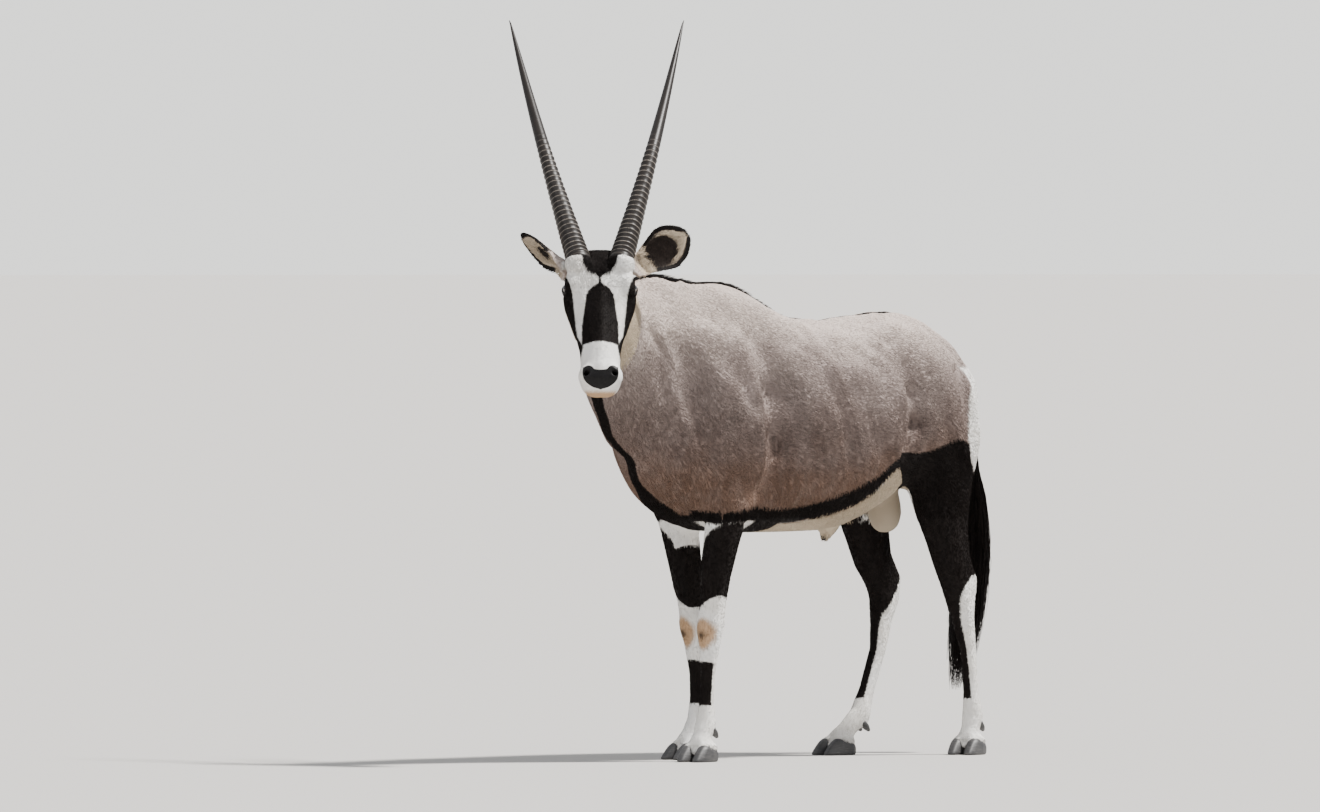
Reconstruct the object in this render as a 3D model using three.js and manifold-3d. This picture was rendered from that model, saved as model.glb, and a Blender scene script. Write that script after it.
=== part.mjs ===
// A standing gemsbok bull at life size, with its head turned to its left.
// Millimetres, +Z up. It faces -Y and its left side is +X. The origin is on the floor, in the middle of its
// box.
// The flesh is swept as whole forms, joined, and parted by thin cuts into head, neck, trunk, tail, legs and
// ears.
import * as THREE from "three";
import { ParametricGeometry } from "three/addons/geometries/ParametricGeometry.js";
import { mergeVertices } from "three/addons/utils/BufferGeometryUtils.js";
import Module from "manifold-3d";

const wasm = await Module();
wasm.setup();

// Driving dimensions
const WITHERS = 1221; // top of the shoulder hump above the ground
const CROUP = 1148; // top of the hips
const GIRTH_LINE = 574; // underside of the chest
const CHEST_FRONT = 588; // breast, ahead of the middle of the back
const BUTTOCK = -590; // rearmost flesh
const BARREL = 234; // half the width of the belly
const GAP = 0.3; // every cut between two pieces

const FACE_PITCH = THREE.MathUtils.degToRad(62); // the face looks this far below level
const FACE_YAW = THREE.MathUtils.degToRad(49); // and this far round to its left
const FACE_LENGTH = 341; // front of the horns to the tip of the nose
const EYE_RADIUS = 20;
const EYE_ALONG = 50; // from the front of the horns down the face
const EYE_APART = 73; // half the distance between the eyes
const EYE_DEEP = 47;

const HORN_LENGTH = 880;
const HORN_RADIUS = 30.5;
const HORN_APART = 54; // half the distance between the horn cores
const HORN_LEAN = THREE.MathUtils.degToRad(16); // behind the line of the face
const HORN_SPREAD = THREE.MathUtils.degToRad(11.2);
const HORN_RINGS = 18; // growth rings on the lower part
const RINGED_SHARE = 0.54;

const EAR_LENGTH = 186;
const EAR_HALF_WIDTH = 54;
const EAR_WALL = 4;

const KNEE_HEIGHT = 338;
const HOCK_HEIGHT = 420;
const FETLOCK_HEIGHT = 100;
const HOOF_HEIGHT = 46;
const HOOF_LENGTH = 112;
const CLAW_HALF_WIDTH = 21;

// A point of the body: forward of the middle of the back, to the animal's left, and up.
const at = (forward, left, up) => new THREE.Vector3(left, -forward, up);

// The head's own axes: down the face, out to its left, and from the brow back to the jaw.
const LEVEL_AHEAD = at(Math.cos(FACE_YAW), Math.sin(FACE_YAW), 0);
const HEAD_LEFT = at(-Math.sin(FACE_YAW), Math.cos(FACE_YAW), 0);
const DOWN_FACE = LEVEL_AHEAD.clone()
  .multiplyScalar(Math.cos(FACE_PITCH))
  .add(at(0, 0, -Math.sin(FACE_PITCH)));
const BROW_OUT = new THREE.Vector3().crossVectors(HEAD_LEFT, DOWN_FACE).negate();
const HORN_FOOT = at(802, 149, 1264); // on the midline, at the front of the horns

const headPoint = (down, left, deep) =>
  HORN_FOOT.clone()
    .addScaledVector(DOWN_FACE, down)
    .addScaledVector(HEAD_LEFT, left)
    .addScaledVector(BROW_OUT, -deep);

// A direction level ahead of the face, to its left, and up.
const headWay = (ahead, left, up) =>
  at(0, 0, up).addScaledVector(LEVEL_AHEAD, ahead).addScaledVector(HEAD_LEFT, left);

// A closed geometry as a solid. Corners that fall on one point are merged, and faces without area left out.
function solidOf(geometry) {
  geometry.deleteAttribute("normal");
  geometry.deleteAttribute("uv");
  const merged = mergeVertices(geometry, 1e-3);
  const corners = merged.index.array;
  const kept = [];
  for (let i = 0; i < corners.length; i += 3) {
    const [a, b, c] = corners.slice(i, i + 3);
    if (a !== b && b !== c && c !== a) kept.push(a, b, c);
  }
  const build = (triVerts) =>
    new wasm.Manifold(
      new wasm.Mesh({
        numProp: 3,
        vertProperties: merged.attributes.position.array,
        triVerts: new Uint32Array(triVerts),
      }),
    );
  const made = build(kept);
  return made.volume() > 0 ? made : build(kept.reverse());
}

// A form swept along a line, closed at both ends. Each station gives the line's point and the section
// there: half
// its width, its reach over and under the line, how square it is (2 is an ellipse) and how much heavier its
// lower
// half is. "over" is the side that the reference direction points to, "sides" the number of corners round a
// section. "grow" swells the form all round, and with "level" every section lies level.
function sweep(stations, reference, { sides, grow = 0, level = false }) {
  const keys = stations.map((s) => [
    s.at.x, s.at.y, s.at.z, s.wide, s.over, s.under ?? s.over, s.square ?? 2, s.heavy ?? 0,
  ]);
  const size = keys[0].length;
  const last = stations.length - 1;
  const smooth = new THREE.CubicInterpolant(
    stations.map((_, i) => i), keys.flat(), size, new Float32Array(size),
  );
  const section = (place) => Array.from(smooth.evaluate(THREE.MathUtils.clamp(place, 0, last)));
  const surface = (u, v, target) => {
    const ring = Math.round(v * (last + 2)) - 1;
    const [x, y, z, wide, over, under, square, heavy] = section(ring);
    const before = section(ring - 0.5);
    const after = section(ring + 0.5);
    const ahead = new THREE.Vector3(
      level ? 0 : after[0] - before[0], level ? 0 : after[1] - before[1], after[2] - before[2],
    ).normalize();
    const across = new THREE.Vector3().crossVectors(ahead, reference).normalize();
    const upward = new THREE.Vector3().crossVectors(across, ahead);
    target.set(x, y, z);
    if (ring < 1) target.addScaledVector(ahead, -grow);
    if (ring >= last) target.addScaledVector(ahead, grow);
    if (ring < 0 || ring > last) return;
    const angle = u * 2 * Math.PI;
    const bend = (w) => Math.sign(w) * Math.abs(w) ** (2 / square);
    const rise = Math.sin(angle);
    target.addScaledVector(across, (wide * (1 - heavy * rise) + grow) * bend(Math.cos(angle)));
    target.addScaledVector(upward, ((rise > 0 ? over : under) + grow) * bend(rise));
  };
  return solidOf(new ParametricGeometry(surface, sides, last + 2));
}

function ball(centre, radius, sides = 10) {
  const g = new THREE.SphereGeometry(radius, sides, Math.round(sides * 0.7));
  g.translate(centre.x, centre.y, centre.z);
  return solidOf(g);
}

// A ball stretched along the head's own axes.
function headBall(down, left, deep, long, wide, thick, sides = 8) {
  const g = new THREE.SphereGeometry(1, sides, Math.round(sides * 0.7));
  const axes = new THREE.Matrix4().makeBasis(
    DOWN_FACE.clone().multiplyScalar(long),
    HEAD_LEFT.clone().multiplyScalar(wide),
    BROW_OUT.clone().multiplyScalar(thick),
  );
  g.applyMatrix4(axes.setPosition(headPoint(down, left, deep)));
  return solidOf(g);
}

const UP = at(0, 0, 1);
const FORWARD = at(1, 0, 0);

// Trunk: upright sections along the back, from the breast to the buttocks.
// [forward, top, underside, half width, how much heavier below, squareness]
function trunk() {
  const spine = 870;
  const sections = [
    [CHEST_FRONT, 905, 765, 42, 0, 2],
    [560, 985, 706, 92, 0, 2],
    [500, 1080, 648, 136, 0, 2],
    [420, 1150, 604, 166, 0.06, 2.1],
    [335, WITHERS, GIRTH_LINE + 6, 182, 0.16, 2.1],
    [255, WITHERS - 3, GIRTH_LINE, 194, 0.22, 2.1],
    [165, 1182, GIRTH_LINE, 210, 0.16, 2.15],
    [70, 1135, GIRTH_LINE, 226, 0.08, 2.2],
    [-30, 1121, 576, BARREL + 2, 0.06, 2.2],
    [-125, 1127, 590, BARREL, 0.04, 2.2],
    [-215, 1138, 628, 216, 0, 2.2],
    [-310, CROUP, 684, 192, -0.04, 2.25],
    [-405, 1124, 732, 172, -0.02, 2.25],
    [-490, 1072, 770, 146, 0, 2.2],
    [-555, 1000, 812, 104, 0, 2.1],
    [BUTTOCK, 955, 866, 46, 0, 2],
  ];
  return sweep(
    sections.map(([forward, top, under, wide, heavy, square]) => ({
      at: at(forward, 0, spine), wide, over: top - spine, under: spine - under, heavy, square,
    })),
    UP,
    { sides: 18 },
  );
}

// Neck: deep and thick, bending round to the left into the back of the head.
function neck() {
  return sweep(
    [
      { at: at(330, 0, 930), wide: 128, over: 262, under: 262, heavy: 0.2 },
      { at: at(430, 2, 962), wide: 128, over: 260, under: 262, heavy: 0.16 },
      { at: at(530, 10, 1000), wide: 116, over: 227, under: 232, heavy: 0.12 },
      { at: at(625, 34, 1050), wide: 96, over: 184, under: 184, heavy: 0.08 },
      { at: at(702, 72, 1092), wide: 80, over: 149, under: 134, heavy: 0.02 },
      { at: at(756, 112, 1134), wide: 70, over: 120, under: 98, heavy: -0.04 },
      { at: at(792, 146, 1172), wide: 56, over: 72, under: 70, heavy: -0.06 },
    ],
    UP,
    { sides: 16 },
  );
}

// Head: sections down the face, from the poll to the nose, and the swellings on them.
// [down the face, half width, depth of the upper line, depth of the jaw line, how much narrower below,
// squareness]
function head() {
  const sections = [
    [-76, 34, 40, 104, 0, 2],
    [-56, 58, 14, 146, 0.05, 2.1],
    [-24, 74, -2, 182, 0.16, 2.3],
    [14, 82, -8, 196, 0.22, 2.4],
    [52, 88, -6, 192, 0.3, 2.4],
    [92, 86, -2, 176, 0.32, 2.3],
    [134, 73, 0, 156, 0.26, 2.2],
    [178, 62, 0, 138, 0.2, 2.2],
    [222, 53, 1, 122, 0.12, 2.2],
    [262, 51, 3, 112, 0.04, 2.2],
    [296, 53, 3, 106, 0, 2.2],
    [324, 47, 9, 96, 0, 2.2],
    [FACE_LENGTH, 30, 24, 72, 0, 2],
  ];
  const skull = sweep(
    sections.map(([down, wide, brow, jaw, narrow, square]) => {
      const middle = (brow + jaw) / 2;
      return {
        at: headPoint(down, 0, middle), wide, over: middle - brow, under: jaw - middle,
        heavy: -narrow, square,
      };
    }),
    BROW_OUT,
    { sides: 16 },
  );
  const brows = [-1, 1].map((side) => headBall(48, side * 66, 26, 44, 26, 24));
  const hornSeats = [-1, 1].map((side) => headBall(-8, side * HORN_APART, 14, 38, 37, 30));
  const nostrilWings = [-1, 1].map((side) => headBall(302, side * 33, 33, 31, 25, 27));
  const chin = headBall(270, 0, 98, 42, 29, 24);
  return wasm.Manifold.union([skull, ...brows, ...hornSeats, ...nostrilWings, chin]);
}

// Ear: a crescent section carried from the base to the rounded tip. The cup opens towards "facing".
function ear(base, tip, facing) {
  const along = tip.clone().sub(base).normalize();
  const across = new THREE.Vector3().crossVectors(along, facing).normalize();
  const open = new THREE.Vector3().crossVectors(across, along);
  const rings = 8;
  const arc = 7; // corners along the outside of a section, and again along the inside
  const surface = (u, v, target) => {
    const ring = Math.round(v * (rings + 2)) - 1;
    const t = THREE.MathUtils.clamp(ring / rings, 0, 1);
    target.copy(base).addScaledVector(along, t * EAR_LENGTH);
    if (ring < 0 || ring > rings) return;
    const leaf = Math.sin(Math.PI * t ** 1.3) ** 0.52;
    const half = 20 * (1 - t) ** 2 + EAR_HALF_WIDTH * leaf * (0.42 + 0.58 * Math.min(1, t * 1.7)) + 2;
    const cup = (34 - 22 * t) * (1 - t ** 5) + 1;
    const wall = EAR_WALL + 30 * (1 - Math.min(1, t * 4.5)) ** 2;
    const corner = Math.round(u * 2 * arc) % (2 * arc);
    const outside = corner < arc;
    const share = outside ? corner / (arc - 1) : (2 * arc - 1 - corner) / (arc - 1);
    const turn = Math.PI * (share - 0.5);
    const depth = outside ? cup : Math.max(cup - wall, -cup * 0.35);
    const lip = outside ? 0 : 1.6;
    target.addScaledVector(across, (half - lip) * Math.sin(turn));
    target.addScaledVector(open, cup * 0.5 + lip - depth * Math.cos(turn));
  };
  return solidOf(new ParametricGeometry(surface, 2 * arc, rings + 2));
}

// Horn: a long, faintly bowed cone with growth rings on its lower part and a smooth point.
function horn(side, grow = 0) {
  const root = headPoint(-14, side * (HORN_APART - 3), 26);
  const back = DOWN_FACE.clone()
    .multiplyScalar(-Math.cos(HORN_LEAN))
    .addScaledVector(BROW_OUT, -Math.sin(HORN_LEAN));
  const outward = HEAD_LEFT.clone().multiplyScalar(side);
  const bow = 7;
  const line = (t) =>
    root.clone()
      .addScaledVector(back, t * HORN_LENGTH * Math.cos(HORN_SPREAD))
      .addScaledVector(outward, t * HORN_LENGTH * Math.sin(HORN_SPREAD) + bow * Math.sin(Math.PI * t));
  const stations = [];
  const ringed = 2 * HORN_RINGS;
  const plain = 7;
  for (let i = 0; i <= ringed + plain; i++) {
    const t = i <= ringed
      ? RINGED_SHARE * (i / ringed) ** 1.12
      : RINGED_SHARE + ((1 - RINGED_SHARE) * (i - ringed)) / plain;
    const taper = HORN_RADIUS * (1 - t) ** 0.82 * (1 - 0.12 * Math.sin(Math.PI * t)) + 1.2;
    const ridge = i < ringed ? (i % 2 ? 1.6 : -1) * (1 - 0.6 * (i / ringed)) : 0;
    stations.push({ at: line(t), wide: taper + ridge, over: taper * 1.04 + ridge });
  }
  return sweep(stations, BROW_OUT, { sides: 8, grow });
}

// Sections down a foreleg: [height, reach in front, reach behind, half width]
const FORELEG = [
  [900, 96, 92, 54],
  [820, 122, 112, 64],
  [745, 112, 110, 62],
  [680, 84, 92, 52],
  [620, 60, 68, 45],
  [555, 52, 56, 40],
  [478, 45, 47, 36],
  [405, 36, 38, 33],
  [KNEE_HEIGHT + 4, 38, 36, 35],
  [290, 29, 29, 28],
  [225, 21, 23, 20],
  [150, 21, 24, 19],
  [FETLOCK_HEIGHT, 26, 32, 26],
  [66, 23, 26, 25],
  [40, 28, 28, 33],
];

// Sections down a hind leg, as above
const HINDLEG = [
  [985, 110, 120, 70],
  [900, 140, 156, 84],
  [800, 138, 158, 80],
  [705, 104, 112, 66],
  [620, 80, 88, 54],
  [560, 62, 70, 46],
  [500, 52, 62, 41],
  [HOCK_HEIGHT + 22, 46, 66, 34],
  [HOCK_HEIGHT - 18, 42, 54, 31],
  [350, 34, 36, 27],
  [270, 24, 25, 21],
  [165, 22, 25, 20],
  [FETLOCK_HEIGHT + 4, 27, 32, 26],
  [68, 24, 26, 25],
  [40, 28, 28, 33],
];

// Where each leg's line runs: [height, forward, left] at its joints, and the way its toes point, in degrees
// to
// the left.
const STANCE = {
  foreleg_left: {
    sections: FORELEG,
    line: [[900, 352, 112], [745, 348, 124], [620, 358, 128], [478, 372, 108],
      [KNEE_HEIGHT, 374, 90], [200, 378, 82], [FETLOCK_HEIGHT, 382, 80], [40, 408, 84]],
    hoof: [412, 86], toes: 16,
  },
  foreleg_right: {
    sections: FORELEG,
    line: [[900, 330, -112], [745, 312, -124], [620, 292, -128], [478, 276, -108],
      [KNEE_HEIGHT, 270, -88], [200, 264, -82], [FETLOCK_HEIGHT, 266, -80], [40, 304, -80]],
    hoof: [310, -80], toes: 0,
  },
  hindleg_left: {
    sections: HINDLEG,
    line: [[985, -372, 84], [800, -388, 108], [620, -400, 122], [500, -434, 118],
      [HOCK_HEIGHT, -466, 112], [270, -508, 104], [FETLOCK_HEIGHT, -526, 101], [40, -510, 104]],
    hoof: [-504, 106], toes: 22,
  },
  hindleg_right: {
    sections: HINDLEG,
    line: [[985, -360, -84], [800, -364, -108], [620, -348, -122], [500, -378, -118],
      [HOCK_HEIGHT, -412, -112], [270, -384, -104], [FETLOCK_HEIGHT, -316, -101], [40, -242, -100]],
    hoof: [-230, -100], toes: 0,
  },
};

// Straight-line reading of a table whose first column runs downwards.
function reading(table, height, column) {
  const last = table.length - 1;
  if (height >= table[0][0]) return table[0][column];
  for (let i = 0; i < last; i++) {
    const [upper, lower] = [table[i], table[i + 1]];
    if (height >= lower[0]) {
      const t = (upper[0] - height) / (upper[0] - lower[0]);
      return THREE.MathUtils.lerp(upper[column], lower[column], t);
    }
  }
  return table[last][column];
}

function leg({ sections, line }) {
  return sweep(
    sections.map(([height, front, behind, wide]) => ({
      at: at(reading(line, height, 1), reading(line, height, 2), height), wide, over: front, under: behind,
    })),
    FORWARD,
    { sides: 12 },
  );
}

// The direction that a foot's toes point, and its own left.
function footAxes(toes) {
  const turn = THREE.MathUtils.degToRad(toes);
  return [at(Math.cos(turn), Math.sin(turn), 0), at(-Math.sin(turn), Math.cos(turn), 0)];
}

// One claw of a cloven hoof: flat below, sloping back from the toe, closed above under the skin.
function claw({ hoof, toes }, side, grow = 0) {
  const [ahead, left] = footAxes(toes);
  const apart = (CLAW_HALF_WIDTH + 2) * side;
  const middle = at(hoof[0], hoof[1], 0).addScaledVector(left, apart);
  const station = (height, back, reach, heel, wide) => ({
    at: middle.clone().addScaledVector(ahead, -back).addScaledVector(UP, height),
    wide, over: reach, under: heel, square: 2.3,
  });
  return sweep(
    [
      station(0, 0, HOOF_LENGTH * 0.55, HOOF_LENGTH * 0.45, CLAW_HALF_WIDTH),
      station(HOOF_HEIGHT * 0.5, 6, HOOF_LENGTH * 0.43, HOOF_LENGTH * 0.4, CLAW_HALF_WIDTH - 1),
      station(HOOF_HEIGHT, 14, HOOF_LENGTH * 0.3, HOOF_LENGTH * 0.3, CLAW_HALF_WIDTH - 4),
    ],
    ahead,
    { sides: 10, grow, level: true },
  );
}

// A dewclaw: a small blunt cone behind the fetlock, pointing down and back.
function dewclaw({ line, toes }, side, grow = 0) {
  const [ahead, left] = footAxes(toes);
  const height = FETLOCK_HEIGHT - 16;
  const root = at(reading(line, height, 1), reading(line, height, 2), height)
    .addScaledVector(left, side * 15)
    .addScaledVector(ahead, -16);
  const point = (t) => root.clone().addScaledVector(ahead, -26 * t).addScaledVector(UP, -24 * t);
  return sweep(
    [
      { at: point(0), wide: 10, over: 9 },
      { at: point(0.55), wide: 10.5, over: 9.5 },
      { at: point(1), wide: 5, over: 4.5 },
    ],
    ahead,
    { sides: 6, grow },
  );
}

// Tail: the fleshy dock, and the long hair that hangs from it past the hocks.
function dock() {
  return sweep(
    [
      { at: at(-520, 0, 1010), wide: 34, over: 30 },
      { at: at(-572, 0, 988), wide: 31, over: 28 },
      { at: at(-606, 0, 930), wide: 25, over: 23 },
      { at: at(-622, -2, 850), wide: 20, over: 19 },
      { at: at(-630, -6, 770), wide: 20, over: 20 },
      { at: at(-634, -8, 730), wide: 20, over: 20 },
    ],
    FORWARD,
    { sides: 10 },
  );
}

function tailHair() {
  return sweep(
    [
      { at: at(-634, -8, 727), wide: 20, over: 20 },
      { at: at(-636, -10, 660), wide: 30, over: 26 },
      { at: at(-636, -18, 560), wide: 38, over: 30 },
      { at: at(-632, -30, 450), wide: 46, over: 32 },
      { at: at(-626, -42, 340), wide: 48, over: 30 },
      { at: at(-620, -50, 240), wide: 36, over: 22 },
      { at: at(-616, -56, 165), wide: 12, over: 9 },
    ],
    FORWARD,
    { sides: 8 },
  );
}

// The bull's scrotum and the sheath in front of it.
function scrotum(grow = 0) {
  return sweep(
    [
      { at: at(-318, 0, 760), wide: 22, over: 26 },
      { at: at(-314, 0, 715), wide: 27, over: 32 },
      { at: at(-311, 0, 665), wide: 44, over: 46 },
      { at: at(-312, 0, 622), wide: 52, over: 50 },
      { at: at(-314, 0, 586), wide: 40, over: 38 },
      { at: at(-315, 0, 570), wide: 18, over: 18 },
    ],
    FORWARD,
    { sides: 10, grow },
  );
}

function sheath(grow = 0) {
  return sweep(
    [
      { at: at(-140, 0, 628), wide: 30, over: 34 },
      { at: at(-118, 0, 590), wide: 25, over: 28 },
      { at: at(-100, 0, 562), wide: 15, over: 16 },
      { at: at(-94, 0, 547), wide: 9, over: 9 },
    ],
    FORWARD,
    { sides: 10, grow },
  );
}

// Parting tools: a box about its middle, and a very large box whose one face passes through a point and
// looks along
// a direction. "grow" moves that face outwards.
function block(centre, size) {
  const g = new THREE.BoxGeometry(size[0], size[1], size[2]);
  g.translate(centre.x, centre.y, centre.z);
  return solidOf(g);
}

function halfSpace(point, direction, grow) {
  const reach = 2400;
  const g = new THREE.BoxGeometry(reach, reach, reach);
  g.translate(0, 0, grow - reach / 2);
  g.applyQuaternion(new THREE.Quaternion().setFromUnitVectors(UP, direction.clone().normalize()));
  g.translate(point.x, point.y, point.z);
  return solidOf(g);
}

const nodes = {};

// Separate hard pieces and those that sit in a socket
for (const [name, side] of [["left", 1], ["right", -1]]) {
  const centre = headPoint(EYE_ALONG, side * EYE_APART, EYE_DEEP);
  nodes["eye_" + name] = {
    solid: ball(centre, EYE_RADIUS),
    socket: ball(centre, EYE_RADIUS + GAP),
    look: "eye",
  };
  nodes["horn_" + name] = { solid: horn(side), socket: horn(side, GAP), look: "horn" };
}
for (const [name, foot] of Object.entries(STANCE)) {
  for (const [place, side] of [["left", 1], ["right", -1]]) {
    nodes[`${name}_claw_${place}`] = { solid: claw(foot, side), socket: claw(foot, side, GAP), look: "hoof" };
    nodes[`${name}_dewclaw_${place}`] = {
      solid: dewclaw(foot, side), socket: dewclaw(foot, side, GAP), look: "hoof",
    };
  }
}
nodes.scrotum = { solid: scrotum(), socket: scrotum(GAP), look: "bare_skin" };
nodes.sheath = { solid: sheath(), socket: sheath(GAP), look: "coat" };

// Ears: the left cup faces the viewer, the right one is turned away to its own side
const EARS = {
  left: { base: headPoint(-12, 80, 62), tip: headPoint(-122, 219, 76), facing: headWay(1, 0.1, 0) },
  right: { base: headPoint(-12, -80, 62), tip: headPoint(-142, -194, 129), facing: headWay(0.2, -0.8, -0.5) },
};
const ears = Object.values(EARS).map(({ base, tip, facing }) => ear(base, tip, facing));

// The whole animal in one piece, with the sockets cut out
const whole = wasm.Manifold.union([
  trunk(), neck(), head(), dock(), ...ears, ...Object.values(STANCE).map(leg),
]);
let flesh = whole.subtract(wasm.Manifold.union(Object.values(nodes).map((n) => n.socket)));

// Takes what a tool holds out of the flesh as a node of its own. The same tool, grown a little, clears the
// gap.
function part(name, tool) {
  nodes[name] = { solid: flesh.intersect(tool(0)), look: "coat" };
  flesh = flesh.subtract(tool(GAP));
}

for (const [name, { base, tip }] of Object.entries(EARS)) {
  const out = tip.clone().sub(base).normalize();
  const start = base.clone().addScaledVector(out, 34);
  const middle = base.clone().addScaledVector(out, EAR_LENGTH * 0.65);
  const outwards = (grow) => halfSpace(start, out.clone().negate(), grow);
  part("ear_" + name, (grow) => outwards(grow).intersect(ball(middle, 104 + grow)));
}

// The head is parted upright behind the cheeks, the neck aslant ahead of the shoulders, the tail off the
// buttocks
part("head", (grow) => halfSpace(headPoint(-30, 0, 107), headWay(-1, 0, 0), grow));
part("neck", (grow) => halfSpace(at(470, 0, 1000), at(-0.88, 0, -0.47), grow));
part("tail", (grow) =>
  halfSpace(at(BUTTOCK - 2, 0, 900), FORWARD, grow).intersect(block(at(-640, 0, 860), [260, 160, 420])));

// Each leg is parted level at the elbow, or through the thigh, and clear of the belly.
// Lower down a hind leg may stand well forward of its thigh.
const LEG_CUTS = {
  fore: { top: 640, from: 160, to: 480, lean: 0 },
  hind: { top: 790, from: -602, to: -262, lean: 0.25 },
};
const STEP_ROOM = { top: 560, from: -700, to: -60 };
const LEG_INNER = 14; // the cut's distance from the middle
const LEG_OUTER = 300;
function legTool(name, grow) {
  const side = name.endsWith("left") ? 1 : -1;
  const { top, from, to, lean } = LEG_CUTS[name.slice(0, 4)];
  const slab = (rear, front, height) =>
    block(
      at((rear + front) / 2, (side * (LEG_INNER + LEG_OUTER)) / 2, height / 2),
      [LEG_OUTER - LEG_INNER + 2 * grow, front - rear + 2 * grow, height],
    );
  const under = halfSpace(at((from + to) / 2, 0, top), at(lean, 0, 1), grow);
  const upper = slab(from, to, 2 * top).intersect(under);
  return name.startsWith("hind") ? upper.add(slab(STEP_ROOM.from, STEP_ROOM.to, STEP_ROOM.top)) : upper;
}
for (const name of Object.keys(STANCE)) part(name, (grow) => legTool(name, grow));
nodes.trunk = { solid: flesh, look: "coat" };
nodes.tail_hair = { solid: tailHair(), look: "tail_hair" };

const LOOKS = {
  coat: { color: 0xa08c80, roughness: 0.75 },
  eye: { color: 0x1a1210, roughness: 0.1 },
  horn: { color: 0x2b2523, roughness: 0.5 },
  hoof: { color: 0x3a3c42, roughness: 0.5 },
  bare_skin: { color: 0xb9a893, roughness: 0.6 },
  tail_hair: { color: 0x14100f, roughness: 0.6 },
};

const gemsbok = new THREE.Group();
for (const [name, { solid, look }] of Object.entries(nodes)) {
  const { vertProperties, triVerts } = solid.getMesh();
  const geometry = new THREE.BufferGeometry();
  geometry.setAttribute("position", new THREE.BufferAttribute(vertProperties, 3));
  geometry.setIndex(new THREE.BufferAttribute(triVerts, 1));
  geometry.computeVertexNormals();
  const mesh = new THREE.Mesh(geometry, new THREE.MeshStandardMaterial({ metalness: 0, ...LOOKS[look] }));
  mesh.name = name;
  gemsbok.add(mesh);
}

// The origin is put in the middle of the footprint of the whole animal's box
const box = new THREE.Box3().setFromObject(gemsbok);
const middle = box.getCenter(new THREE.Vector3());
gemsbok.position.set(-middle.x, -middle.y, 0);

export default gemsbok;
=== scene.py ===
import math

import bmesh
import bpy
import numpy as np
import openvdb
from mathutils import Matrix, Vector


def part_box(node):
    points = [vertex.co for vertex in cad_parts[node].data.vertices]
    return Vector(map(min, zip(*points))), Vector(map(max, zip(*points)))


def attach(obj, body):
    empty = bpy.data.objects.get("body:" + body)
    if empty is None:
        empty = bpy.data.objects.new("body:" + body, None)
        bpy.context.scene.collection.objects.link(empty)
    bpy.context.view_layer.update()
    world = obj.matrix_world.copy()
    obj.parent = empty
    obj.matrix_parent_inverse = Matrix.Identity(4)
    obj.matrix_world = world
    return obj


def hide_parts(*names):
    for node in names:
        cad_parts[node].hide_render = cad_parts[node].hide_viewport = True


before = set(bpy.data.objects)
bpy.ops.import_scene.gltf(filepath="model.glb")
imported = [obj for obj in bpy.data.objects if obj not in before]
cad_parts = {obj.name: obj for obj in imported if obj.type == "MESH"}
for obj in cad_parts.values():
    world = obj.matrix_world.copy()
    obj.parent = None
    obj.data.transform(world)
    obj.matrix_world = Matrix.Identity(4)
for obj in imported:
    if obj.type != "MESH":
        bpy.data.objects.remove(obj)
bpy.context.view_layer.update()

# Camera. It stands far off with a long lens, level with the animal's eyes, ahead of it and to its left.
# Every place on the animal is given forward and left of the middle of its back, and up from the floor.
REAR_TO_MIDDLE = 0.592  # rear of the buttocks to the middle of the back
trunk_low, trunk_high = (np.array(corner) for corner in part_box("trunk"))
MIDLINE = (trunk_low[0] + trunk_high[0]) / 2
BACK_MIDDLE = trunk_high[1] - REAR_TO_MIDDLE


def at(forward, left, up):
    """A place on the animal, in metres."""
    return np.array([MIDLINE + left, BACK_MIDDLE - forward, up])


def way(forward, left, up):
    """A direction of length one, given forward, left and up."""
    v = np.array([left, -forward, up], dtype=float)
    return v / np.linalg.norm(v)


VIEW_TURN = math.radians(48)
VIEW_DISTANCE = 40.5
VIEW_ASIDE = 0.345  # the animal stands right of the middle of the picture
VIEW_HEIGHT = 1.26
VIEW_TILT = math.radians(0.51)
across_view = np.array([math.cos(VIEW_TURN), math.sin(VIEW_TURN), 0])
into_view = np.array([-math.sin(VIEW_TURN), math.cos(VIEW_TURN), 0])
camera_data = bpy.data.cameras.new("camera")
camera_data.sensor_width = 36
camera_data.lens = 432
camera_data.clip_end = 3000
camera = bpy.data.objects.new("camera", camera_data)
camera.location = at(0, 0, VIEW_HEIGHT) - VIEW_DISTANCE * into_view - VIEW_ASIDE * across_view
camera.rotation_euler = (math.pi / 2 - VIEW_TILT, 0, VIEW_TURN)
bpy.context.scene.collection.objects.link(camera)
bpy.context.scene.camera = camera

# Floor and light. A plain pale floor runs to the horizon under a soft white sky, and meets a backdrop of its
# own tone. One broad lamp stands high to the right of the camera, and a weaker one fills from behind.
FLOOR_REACH = 1500


def add_object(name, mesh):
    """Puts a mesh or a lamp into the scene."""
    piece = bpy.data.objects.new(name, mesh)
    bpy.context.scene.collection.objects.link(piece)
    return piece


def new_material(name, values):
    """A material with the given values on its shader's inputs, and with it the node tree and the shader."""
    material = bpy.data.materials.new(name)
    material.use_nodes = True
    shader = material.node_tree.nodes["Principled BSDF"]
    for key, value in values.items():
        shader.inputs[key].default_value = value
    return material, material.node_tree, shader


floor_mesh = bpy.data.meshes.new("floor")
floor_corners = [(x * FLOOR_REACH, y * FLOOR_REACH, 0) for x, y in ((-1, -1), (1, -1), (1, 1), (-1, 1))]
floor_mesh.from_pydata(floor_corners, [], [(0, 1, 2, 3)])
floor = add_object("floor", floor_mesh)
floor_look = {"Base Color": (0.50, 0.485, 0.465, 1), "Roughness": 0.9}
floor_mesh.materials.append(new_material("pale floor", floor_look)[0])

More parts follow.
